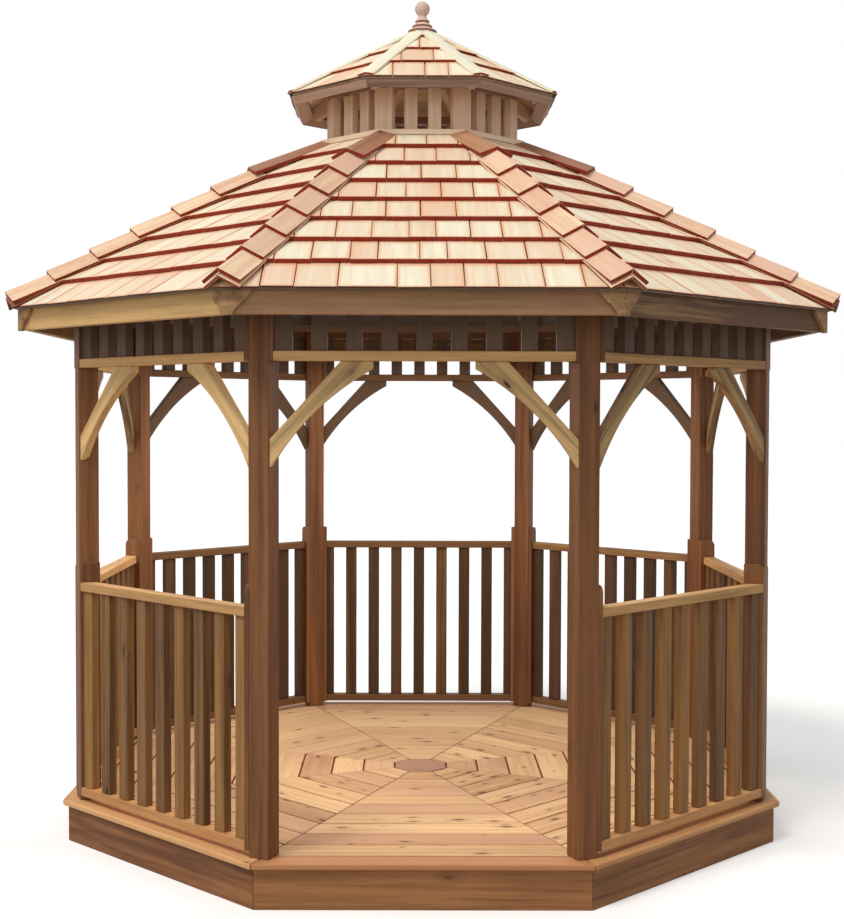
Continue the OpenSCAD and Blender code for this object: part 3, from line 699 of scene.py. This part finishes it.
def stile(side, length, tone):
    """An upright for the end of a panel, slanted on the side that meets the post."""
    small = bmesh.new()
    bmesh.ops.create_cube(small, size=1, matrix=Matrix.Diagonal((STILE_W, BALUSTER_T, length, 1)))
    slant = Matrix.Identity(4)
    slant[0][1] = -side * math.tan(HALF)
    outside = [vert for vert in small.verts if vert.co.x * side > 0]
    bmesh.ops.transform(small, matrix=slant, verts=outside)
    ease(small)
    mark(small, along=Matrix.Rotation(math.pi / 2, 3, "Y"), tone=tone)
    return small


def uprights(bay, low, high):
    """The balusters of a panel and the stile at each end."""
    piece = start_piece()
    length = high - low - 2 * RAIL_T
    middle = at_bay(bay) @ Matrix.Translation((0, -panel_flat, (low + high) / 2))
    pitch = (2 * (panel_half - STILE_W) + BALUSTER_W) / (BALUSTERS + 1)
    for number in range(BALUSTERS):
        place = Matrix.Translation(((number - (BALUSTERS - 1) / 2) * pitch, 0, 0))
        small = sawn(length, BALUSTER_T, BALUSTER_W, vary(UPRIGHT_LIGHT_TONES[bay]))
        lay(piece, small, middle @ place @ upright)
    for side in (-1, 1):
        place = Matrix.Translation((side * (panel_half - STILE_W / 2), 0, 0))
        lay(piece, stile(side, length, UPRIGHT_LIGHT_TONES[bay]), middle @ place)
    return piece


print("A panel is", round(2 * panel_half, 3), "m wide")

# %% [markdown]
# ## Railings and friezes
# The rails are golden in front and on the sides, partly painted light, and the balusters are browner, so
# each panel is two pieces. The tones by bay paint light and shade: the rails and balusters at the back are
# painted a deep brown for their shaded side, and the frieze's top rail under the eave is painted deep. The
# lower rails in front and on the sides lean to pink.

# %% Railings and friezes
# Painted light and shade: rail tones are high where the light falls and deep at the back, in shade.
RAIL_LIGHT_TONES = plain(0.8, 0.60, 0.50, 0.15, 0.10, 0.06, 0.65, 0.56)
LOW_RAIL_LIGHT_TONES = ((0.6, NO_PINK), (0.62, 0.8), (0.45, 0.6), (0.05, NO_PINK),
                  (0.0, NO_PINK), (0.0, NO_PINK), (0.5, 0.6), (0.57, 0.85))
FRIEZE_LIGHT_TONES = plain(0.75, 0.42, 0.35, 0.0, 0.0, 0.0, 0.6, 0.85)
FRIEZE_TOP_SHADE_TONE = (0, NO_PINK)


def panel(node, bay, low, high, rail_tones, upright_name, upright_wood):
    """A panel that stands for a node, as a piece of rails and a piece of uprights."""
    finish_piece(rails(bay, low, high, *rail_tones), node + "_rails", [rail_wood], "rail_wood", node)
    finish_piece(uprights(bay, low, high), node + upright_name, [upright_wood], "rail_wood", node)


for bay, name in enumerate(BAYS):
    tones = (FRIEZE_LIGHT_TONES[bay], FRIEZE_TOP_SHADE_TONE)
    panel("frieze_" + name, bay, frieze_low.z, frieze_high.z, tones, "_spindles", frieze_shade_wood)
    if name != "front":
        tones = (LOW_RAIL_LIGHT_TONES[bay], RAIL_LIGHT_TONES[bay])
        panel("railing_" + name, bay, rail_low.z, rail_high.z, tones, "_balusters", spindle_wood)

# %% [markdown]
# ## Timber taken from the frame
# Posts, braces, rafters, fascias and trims already have their right shape in the frame, with every mitre,
# notch and curve. A copy of such a node is merged from its loose triangles, its flat faces are joined
# again and its edges are eased. Points closer than a tenth of a millimetre are merged too, because one
# very short edge would hold the easing of the whole node to its own length. Then each separate stick gets
# a grain along its longest direction.

# %% Timber helper
MERGE = 0.0001
TINY = 0.000001
FLAT = math.radians(1)
FACING_END = 0.7


def sticks_of(piece):
    """The separate sticks of a piece, as lists of their vertices."""
    waiting = dict.fromkeys(piece.verts)
    while waiting:
        start = next(iter(waiting))
        del waiting[start]
        stick = [start]
        for vert in stick:
            for edge in vert.link_edges:
                other = edge.other_vert(vert)
                if other in waiting:
                    del waiting[other]
                    stick.append(other)
        yield stick


def longest_first(stick):
    """A turn that lays a stick's longest direction along x, from the spread of its points."""
    points = np.array([vert.co for vert in stick])
    spread = np.linalg.svd(points - points.mean(0), full_matrices=False)[2]
    return Matrix(spread.tolist())


def bay_of(stick):
    """The bay that a stick stands in, from the middle of its points."""
    middle = sum((vert.co for vert in stick), Vector()) / len(stick)
    return round(math.atan2(middle.x, -middle.y) / TURN) % len(BAYS)


def timber(node, name, material, slot, easing=EASE, tones=None, ends=None):
    """A copy of a node as eased timber, perhaps with tones for the bays and another wood on the ends."""
    piece = start_piece()
    piece.from_mesh(nodes[node].data)
    bmesh.ops.remove_doubles(piece, verts=piece.verts[:], dist=MERGE)
    bmesh.ops.dissolve_limit(piece, angle_limit=FLAT, verts=piece.verts[:], edges=piece.edges[:])
    ease(piece, easing)
    bmesh.ops.dissolve_degenerate(piece, dist=TINY, edges=piece.edges[:])
    for face in piece.faces:
        face.material_index = 0
        face.smooth = False
    for stick in sticks_of(piece):
        turn = longest_first(stick)
        mark(piece, stick, turn, *(tones[bay_of(stick)] if tones else ()))
        for face in {face for vert in stick for face in vert.link_faces if ends}:
            face.material_index = 1 if abs(face.normal @ turn[0]) > FACING_END else 0
    finish_piece(piece, name, [material, ends or material], slot, node)


print("Points within", MERGE * 1000, "mm are merged")

# %% [markdown]
# ## Posts, skirt and braces
# Eight square posts carry the roof, with an arched brace on each side of each post, and skirt boards
# close the space under the deck. The braces in front are golden and those at the back are in the shade,
# and the tones paint that light and shade bay by bay. A post belongs to two bays, so each pair of posts
# has one tone, painted paler on the left and in front, where the sun falls.

# %% Posts, skirt and braces
POST_EASE = 0.004
FINE_EASE = 0.002
# Painted light and shade: posts on the lit left and front get higher tones.
POST_LIGHT_TONES = {"front": 0.55, "right": 0.35, "back": 0.35, "left": 0.65}
SKIRT_TONES = plain(0.78, 0.5, 0.4, 0.6, 0.5, 0.3, 0.6, 0.22)
# Painted light and shade: braces in front get high tones, those at the back deep ones.
BRACE_LIGHT_TONES = plain(0.58, 0.35, 0.12, -0.2, -0.2, -0.2, 0.25, 0.85)
for side, tone in POST_LIGHT_TONES.items():
    tones = plain(tone) * len(BAYS)
    timber(side + "_posts", side + "_post_timber", post_wood, "post_wood", POST_EASE, tones)
timber("skirt_boards", "skirt", skirt_wood, "skirt_wood", EASE, SKIRT_TONES)
timber("post_cleats", "cleats", post_wood, "rail_wood", FINE_EASE)
timber("knee_braces", "braces", brace_wood, "brace_wood", EASE, BRACE_LIGHT_TONES)

# %% [markdown]
# ## Timber of the roof
# The plate on the posts and the hip rafters carry the roof and are hardly seen; they are in the dull
# brown of painted shade. The fascia boards close the eave, and a trim with curved sides covers each of
# their mitres. The fascia tones by bay paint light and shade: the front left is golden in the sun and the
# front right dark in the shade. The front one is a pink board.

# %% Timber of the roof
# Painted light and shade: high tones where the sun falls, deep ones in shade.
FASCIA_LIGHT_TONES = [(0.52, 1.0)] + plain(0.03, 0.30, 0.5, 0.4, 0.5, 0.6, 0.90)
TRIM_TONES = [(0.45, 0.7)] * len(BAYS)
timber("top_plate", "plate", inner_wood, "inner_wood")
timber("hip_rafters", "rafters", inner_wood, "inner_wood")
timber("fascia_boards", "fascia", fascia_wood, "fascia_wood", EASE, FASCIA_LIGHT_TONES)
timber("corner_trims", "trims", fascia_wood, "fascia_wood", FINE_EASE, TRIM_TONES)

# %% [markdown]
# ## Timber of the cupola
# The cupola repeats the gazebo in small: a curb and a collar where it leaves the roof, uprights, a plate,
# rafters, a fascia and a board on each hip. The fascia and the hip boards are thin, so they are eased
# less, and the ends of the hip boards show the red end grain, darkened by painted shade.

# %% Timber of the cupola
# Painted light and shade: the front of the cupola's fascia gets a deep tone for its shade.
LANTERN_LIGHT_TONES = plain(0.25, 0.6, 0.9, 0.7, 0.5, 0.7, 0.95, 0.75)
COLLAR_TONES = plain(0.9) * len(BAYS)
PLATE_TONES = plain(0.35) * len(BAYS)
timber("cupola_curb", "curb", inner_wood, "inner_wood")
timber("cupola_collar", "collar", cupola_wood, "cupola_wood", EASE, COLLAR_TONES)
timber("cupola_uprights", "lantern_uprights", cupola_wood, "cupola_wood")
timber("cupola_plate", "lantern_plate", mauve_shade_wood, "inner_wood", EASE, PLATE_TONES)
timber("cupola_rafters", "lantern_rafters", cupola_wood, "inner_wood")
timber("cupola_fascia", "lantern_fascia", mauve_shade_wood, "cupola_wood", FINE_EASE, LANTERN_LIGHT_TONES)
timber("cupola_hip_boards", "lantern_hips", pale_wood, "pale_wood", FINE_EASE, ends=butt_end_and_shade_wood)

# %% [markdown]
# ## Sheathing
# Under the shingles each side of the roof is closed with boards that run level round the roof. They show
# from below between the rafters. They are mitred boards again, laid on a slope: distances run down the
# slope from the peak, so the ends close in more slowly than on the deck.

# %% Sheathing
ROOF_SLOPE = 0.608
CUPOLA_SLOPE = 0.59
SHEATHING_FALL = 0.017
SHEATHING_T = 0.009
SHEATHING_PITCH = 0.140
SHEATHING_LEAST = SHEATHING_PITCH / 4


class Slope:
    """One side of a roof over the front: its pitch, its peak, and its eave and top down the slope."""

    def __init__(self, rise, eave_flat, top_flat, low_z):
        self.pitch = math.atan(rise)
        self.eave = eave_flat / math.cos(self.pitch)
        self.top = top_flat / math.cos(self.pitch)
        self.peak = low_z + SHEATHING_FALL * math.hypot(1, rise) + rise * eave_flat
        self.taper = math.tan(HALF) * math.cos(self.pitch)
        self.place = at_height(self.peak) @ Matrix.Rotation(self.pitch, 4, "X")


def sheathing(slope, bay):
    """The boards under the shingles of one bay."""
    piece = start_piece()
    outer = slope.eave
    while outer > slope.top + SHEATHING_LEAST:
        inner = max(outer - SHEATHING_PITCH, slope.top, SHEATHING_LEAST)
        small = mitred(inner, outer - EASE / 2, SHEATHING_T, MITRE_GAP, slope.taper, EASE / 2)
        lay(piece, small, at_bay(bay) @ slope.place @ at_height(SHEATHING_T / 2 - SHEATHING_FALL))
        outer -= SHEATHING_PITCH
    return piece


roof_low, roof_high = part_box("roof_front")
cupola_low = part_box("cupola_roof")[0]
main = Slope(ROOF_SLOPE, -roof_low.y, -roof_high.y, roof_low.z)
lantern = Slope(CUPOLA_SLOPE, -cupola_low.y, 0, cupola_low.z)
for bay, name in enumerate(BAYS):
    boards = sheathing(main, bay)
    finish_piece(boards, "sheathing_" + name, [inner_wood], "inner_wood", "roof_" + name)
    boards = sheathing(lantern, bay)
    finish_piece(boards, "lantern_sheathing_" + name, [cupola_wood], "inner_wood", "cupola_roof")

# %% [markdown]
# ## One shingle
# A shingle is a thin wedge of split cedar, thick at the butt and thin at the top, and each course hides
# the thin part of the one below. A cube with its top end pressed thin is that wedge. It is tipped so that
# its butt rests on the course below, and turned a hair, because no roofer lays every shingle quite
# straight. The first course along the eave is thinner and lies flat on the sheathing.

# %% One shingle
OVERLAP = 0.060
TOP_T = 0.004
BUTT_LIFT = 0.002
SHINGLE_EASE = 0.001
SHINGLE_TURN = 0.004
FACING = 0.5
FACE, EDGE, BUTT_END_AND_SHADE, EAVE_SHADE = range(4)
SHINGLE_WOODS = [shingle_wood, edge_wood, butt_end_and_shade_wood, eave_shade_wood]


def shingle(width, length, butt_t, drop, butt_shade_number, tone):
    """One shingle: its butt in front, its top up the slope, its butt and edges in woods of their own."""
    small = bmesh.new()
    place = Matrix.Translation((length / 2, 0, butt_t / 2)) @ Matrix.Diagonal((length, width, butt_t, 1))
    bmesh.ops.create_cube(small, size=1, matrix=place)
    thin = [vert for vert in small.verts if vert.co.x > length / 2 and vert.co.z > 0]
    bmesh.ops.translate(small, vec=(0, 0, TOP_T - butt_t), verts=thin)
    ease(small, SHINGLE_EASE, 1)
    for face in small.faces:
        below = EDGE if abs(face.normal.y) > FACING else butt_shade_number
        face.material_index = FACE if face.normal.z > FACING else below
    mark(small, tone=tone)
    spot = small.verts.layers.float_vector.new("spot")
    for vert in small.verts:
        vert[spot] = (vert.co.y, width / 2, vert.co.x)
    sink = (butt_t - (butt_t - TOP_T) * EXPOSURE / length + BUTT_LIFT - drop) / EXPOSURE
    turn = Matrix.Rotation(math.pi / 2 + chance.gauss(0, SHINGLE_TURN), 4, "Z")
    settle = turn @ Matrix.Rotation(math.atan(sink), 4, "Y")
    bmesh.ops.transform(small, matrix=settle, verts=small.verts[:])
    return small


print("A shingle is", round(EXPOSURE + OVERLAP, 3), "m long")

# %% [markdown]
# ## Courses of shingles
# Shingles come in many widths, and a roofer keeps the joints of one course away from those of the next,
# so that no rain finds a straight way down. A few widths are tried for each shingle, and the first one
# that keeps its joint clear is taken. Now and then a shingle is stained. Shingles at a hip run past it
# and are trimmed with one cut, which here is a bisect plane along the hip.

# %% Courses of shingles
WIDTHS = (0.105, 0.125, 0.136, 0.140, 0.145, 0.148, 0.150, 0.155, 0.160, 0.170, 0.220)
WIDTH_TRIES = 12
START_SPREAD = 0.1
STAGGER = 0.035
JOINT = 0.0035
JOINT_SPREAD = (0.6, 1.5)
SHINGLE_TONES = (0.35, 1.0)
STAINED = 0.05
STAINED_TONE = -0.4
SLIP = 0.0015
EAVE_DROP = 0.012
EAVE_FALL = 0.007
EAVE_T = 0.009
COURSE_LEAST = 0.04


def joints(reach, before):
    """Joint places across a course, kept away from the joints of the course below."""
    places = [-reach - chance.uniform(0, START_SPREAD)]
    while places[-1] < reach:
        tries = [places[-1] + chance.choice(WIDTHS) for _ in range(WIDTH_TRIES)]
        clear = [t for t in tries if all(abs(t - b) > STAGGER for b in before)]
        places.append((clear or tries)[0])
    return places


def cut_away(small, point, away):
    """Cuts off what lies beyond a plane and closes the cut."""
    everything = small.verts[:] + small.edges[:] + small.faces[:]
    cut = bmesh.ops.bisect_plane(small, geom=everything, plane_co=point, plane_no=away, clear_outer=True)
    bmesh.ops.holes_fill(small, edges=[e for e in cut["geom_cut"] if isinstance(e, bmesh.types.BMEdge)])


def shingles(slope, bay, butt_t):
    """All the courses of one side of a roof, trimmed along both hips."""
    piece = start_piece("spot")
    before = []
    butt = slope.eave + EAVE_DROP
    while butt > slope.top + COURSE_LEAST:
        length = min(EXPOSURE + OVERLAP, butt - slope.top)
        thick, drop, wood = (EAVE_T, EAVE_FALL, EAVE_SHADE) if butt > slope.eave else (butt_t, 0, BUTT_END_AND_SHADE)
        before = joints(butt * slope.taper, before)
        for left, right in zip(before, before[1:]):
            width = right - left - JOINT * chance.uniform(*JOINT_SPREAD)
            tone = chance.uniform(*SHINGLE_TONES) if chance.random() > STAINED else STAINED_TONE
            small = shingle(width, length, thick, drop, wood, tone)
            slip = chance.gauss(0, SLIP)
            lift = chance.uniform(0, SLIP)
            place = Matrix.Translation(((left + right) / 2, slip - butt, lift - drop))
            lay(piece, small, at_bay(bay) @ slope.place @ place)
        butt -= EXPOSURE
    for side in (-1, 1):
        cut_away(piece, (0, 0, 0), at_bay(bay) @ Vector((side * math.cos(HALF), math.sin(HALF), 0)))
    return piece


print("Shingles are", min(WIDTHS), "to", max(WIDTHS), "m wide")

# %% [markdown]
# ## Shingles
# Now both roofs can be covered, side by side. The cupola's shingles are thinner than those of the main
# roof, and everything else about them is the same.

# %% Shingles
MAIN_BUTT_T = 0.018
LANTERN_BUTT_T = 0.010
for bay, name in enumerate(BAYS):
    cover = shingles(main, bay, MAIN_BUTT_T)
    finish_piece(cover, "shingles_" + name, SHINGLE_WOODS, "shingle_wood", "roof_" + name)
    cover = shingles(lantern, bay, LANTERN_BUTT_T)
    finish_piece(cover, "lantern_shingles_" + name, SHINGLE_WOODS, "shingle_wood", "cupola_roof")

# %% [markdown]
# ## Planks for the hip caps
# Along each hip two strips meet in a steep V, and short cap units of two thick shingles each overlap on
# top of them, from the eave up to the collar. One half of a unit is a tapered plank, turned to the lean
# of the V and cut on the ridge line with one bisect plane, so that the two halves meet without a gap.

# %% Planks for the hip caps
CAP_HALF = 0.074
CAP_RISE = 0.046
LAST_RISE = 0.032
SHINGLE_RISE = 0.005
CAP_EASE = 0.0012
# The ends of the cap units and strips take the dark red of end grain with painted shade.
CAP, CAP_END_AND_SHADE, TOP_CAP = range(3)
hip_pitch = math.atan(ROOF_SLOPE * math.cos(HALF))
along_hip = 1 / math.cos(hip_pitch)
cap_lean = math.atan2(CAP_RISE, CAP_HALF)
last_lean = math.atan2(LAST_RISE, CAP_HALF)
hip_place = at_height(main.peak + SHINGLE_RISE) @ Matrix.Rotation(hip_pitch, 4, "X")


def plank(side, length, butt_t, top_t, lean, tone=None, pink=None):
    """Half a cap unit, leaning to one side, its butt at y = 0 and its underside on the ridge line."""
    small = bmesh.new()
    width = CAP_HALF / math.cos(lean)
    spare = width / 4
    place = Matrix.Translation((length / 2, side * (width - spare) / 2, butt_t / 2))
    bmesh.ops.create_cube(small, size=1, matrix=place @ Matrix.Diagonal((length, width + spare, butt_t, 1)))
    thin = [vert for vert in small.verts if vert.co.x > length / 2 and vert.co.z > butt_t / 2]
    bmesh.ops.translate(small, vec=(0, 0, top_t - butt_t), verts=thin)
    mark(small, tone=tone, pink=pink)
    for face in small.faces:
        end = face.normal.x < -FACING or side * face.normal.y > FACING
        face.material_index = CAP_END_AND_SHADE if end else CAP
    turn = Matrix.Rotation(math.pi / 2, 4, "Z") @ Matrix.Rotation(-side * lean, 4, "X")
    bmesh.ops.transform(small, matrix=turn, verts=small.verts[:])
    cut_away(small, (0, 0, 0), (side, 0, 0))
    ease(small, CAP_EASE, 1)
    return small


def put_on_hip(small, butt, lift, dip=0.0):
    """Moves a plank onto the hip: its butt some way down, lifted off the roof and dipped at its top."""
    place = hip_place @ Matrix.Translation((0, -butt, lift)) @ Matrix.Rotation(-dip, 4, "X")
    bmesh.ops.transform(small, matrix=place, verts=small.verts[:])


print("The hips fall by", round(math.degrees(hip_pitch), 1), "degrees")

# %% [markdown]
# ## Hip caps
# Each cap unit rests on the strips and tips down under the butt of the unit above. The last unit leans
# less and dips to the roof, a second cut trims it to the side of the collar, and it is the darker wood.
# The strips of the two hips that face the camera are pale and the others are dark.

# %% Hip caps
CAP_UNITS = 7
CAP_EXPOSURE = 0.214
CAP_OVERLAP = 1.15
CAP_SPREAD = (0.94, 1.06)
CAP_BUTT_T = 0.016
CAP_TOP_T = 0.006
CAP_LIFT = 0.006
LAST_TOP = 0.018
FIRST_BUTT_R = 1.952
STRIP_T = 0.009
STRIP_END_R = 1.962
STRIP_TONES = plain(0.9, 0.05, 0.05, 0.05, 0.05, 0.05, 0.05, 0.9)
collar_flat = -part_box("cupola_collar")[0].y
collar_r = collar_flat / math.cos(HALF)
steep = 1 / math.cos(cap_lean)
strip_rest = CAP_RISE - ROOF_SLOPE * math.sin(HALF) * math.cos(hip_pitch) * CAP_HALF
cap_rest = strip_rest + (STRIP_T + CAP_LIFT) * steep
cap_fall = CAP_BUTT_T - (CAP_BUTT_T - CAP_TOP_T) / CAP_OVERLAP


def half_cap(side, butt):
    """Half a cap unit on the hip."""
    small = plank(side, CAP_EXPOSURE * CAP_OVERLAP, CAP_BUTT_T, CAP_TOP_T, cap_lean)
    put_on_hip(small, butt, cap_rest, math.atan(cap_fall * steep / CAP_EXPOSURE))
    return small


def last_half_cap(side, butt):
    """Half of the topmost cap unit, cut to the side of the collar."""
    run = butt - collar_r * along_hip
    small = plank(side, run + CAP_HALF, CAP_BUTT_T, CAP_BUTT_T, last_lean)
    put_on_hip(small, butt, cap_rest, math.atan((cap_rest - LAST_TOP + CAP_BUTT_T) / run))
    face_of_collar = Vector((-side * math.sin(HALF), -math.cos(HALF), 0))
    cut_away(small, face_of_collar * collar_flat, -face_of_collar)
    for face in small.faces:
        face.material_index = TOP_CAP if face.material_index == CAP else CAP_END_AND_SHADE
    return small


caps = start_piece()
strips = start_piece()
for corner in range(len(BAYS)):
    butt = FIRST_BUTT_R * along_hip
    for unit in range(CAP_UNITS):
        make = last_half_cap if unit == CAP_UNITS - 1 else half_cap
        for side in (-1, 1):
            lay(caps, make(side, butt), at_corner(corner))
        butt -= CAP_EXPOSURE * chance.uniform(*CAP_SPREAD)
    for side in (-1, 1):
        run = (STRIP_END_R - collar_r) * along_hip - CAP_EXPOSURE
        small = plank(side, run, STRIP_T, STRIP_T, cap_lean, *STRIP_TONES[corner])
        put_on_hip(small, STRIP_END_R * along_hip, strip_rest)
        lay(strips, small, at_corner(corner))
finish_piece(strips, "hip_strips", [strip_wood, butt_end_and_shade_wood], "cap_wood", "hip_caps")
finish_piece(caps, "hip_cap_units", [cap_wood, butt_end_and_shade_wood, top_cap_wood], "cap_wood", "hip_caps")

# %% [markdown]
# ## The finial
# The finial is turned from one block: a ball on a short neck over three flared tiers, each with a thin
# rim. A turner works from a profile, and so does spin: half of the outline is drawn as a chain of edges
# from the foot to the top, and one full spin round the axis makes the turned shape.

# %% Profile of the finial
BALL_D = 0.073
BALL_STEPS = 12
RIM = 0.004
TIERS = ((0.142, 0.079, 0.024), (0.098, 0.052, 0.024), (0.070, 0.040, 0.024))
finial_low, finial_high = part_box("finial")
height = finial_low.z
profile = [(0, height)]
for rim_d, top_d, tall in TIERS:
    profile += [(rim_d / 2, height), (rim_d / 2, height + RIM), (top_d / 2, height + tall)]
    height += tall
neck_d = TIERS[-1][1]
ball_z = finial_high.z - BALL_D / 2
ball_start = math.pi - math.asin(neck_d / BALL_D)
for step in range(BALL_STEPS + 1):
    turn = ball_start - ball_start * step / BALL_STEPS
    profile.append((BALL_D / 2 * math.sin(turn), ball_z + BALL_D / 2 * math.cos(turn)))
print("The profile has", len(profile), "points")

# %% [markdown]
# ## Turning the finial
# Spin leaves doubled points on the axis, so they are merged, and the normals are recalculated because a
# spin can turn a shape inside out. The ball is shaded smooth and the tiers keep their creases. The rims
# are painted dark red as the shade lines of the tiers.

# %% Finial
TURN_STEPS = 40
TURN_MERGE = 0.00001
CREASE = math.radians(30)
STANDING = 0.05

turned = bmesh.new()
chain = [turned.verts.new((radius, 0, z)) for radius, z in profile]
for below, above in zip(chain, chain[1:]):
    turned.edges.new((below, above))
bmesh.ops.spin(turned, geom=turned.verts[:] + turned.edges[:], cent=(0, 0, 0), axis=(0, 0, 1),
               angle=2 * math.pi, steps=TURN_STEPS, use_merge=True, use_duplicate=False)
bmesh.ops.remove_doubles(turned, verts=turned.verts[:], dist=TURN_MERGE)
bmesh.ops.recalc_face_normals(turned, faces=turned.faces[:])
mark(turned, along=Matrix.Rotation(math.pi / 2, 3, "Y"))
for edge in turned.edges:
    edge.smooth = edge.calc_face_angle(0) < CREASE
for face in turned.faces:
    # Painted shade: the rims of the tiers get the dark red wood.
    rim_shade = abs(face.normal.z) < STANDING and face.calc_center_median().z < ball_z - BALL_D / 2
    face.material_index = 1 if rim_shade else 0
    face.smooth = True
finial = start_piece()
lay(finial, turned, Matrix.Identity(4))
finish_piece(finial, "finial_turned", [turned_wood, butt_end_and_shade_wood], "pale_wood", "finial")
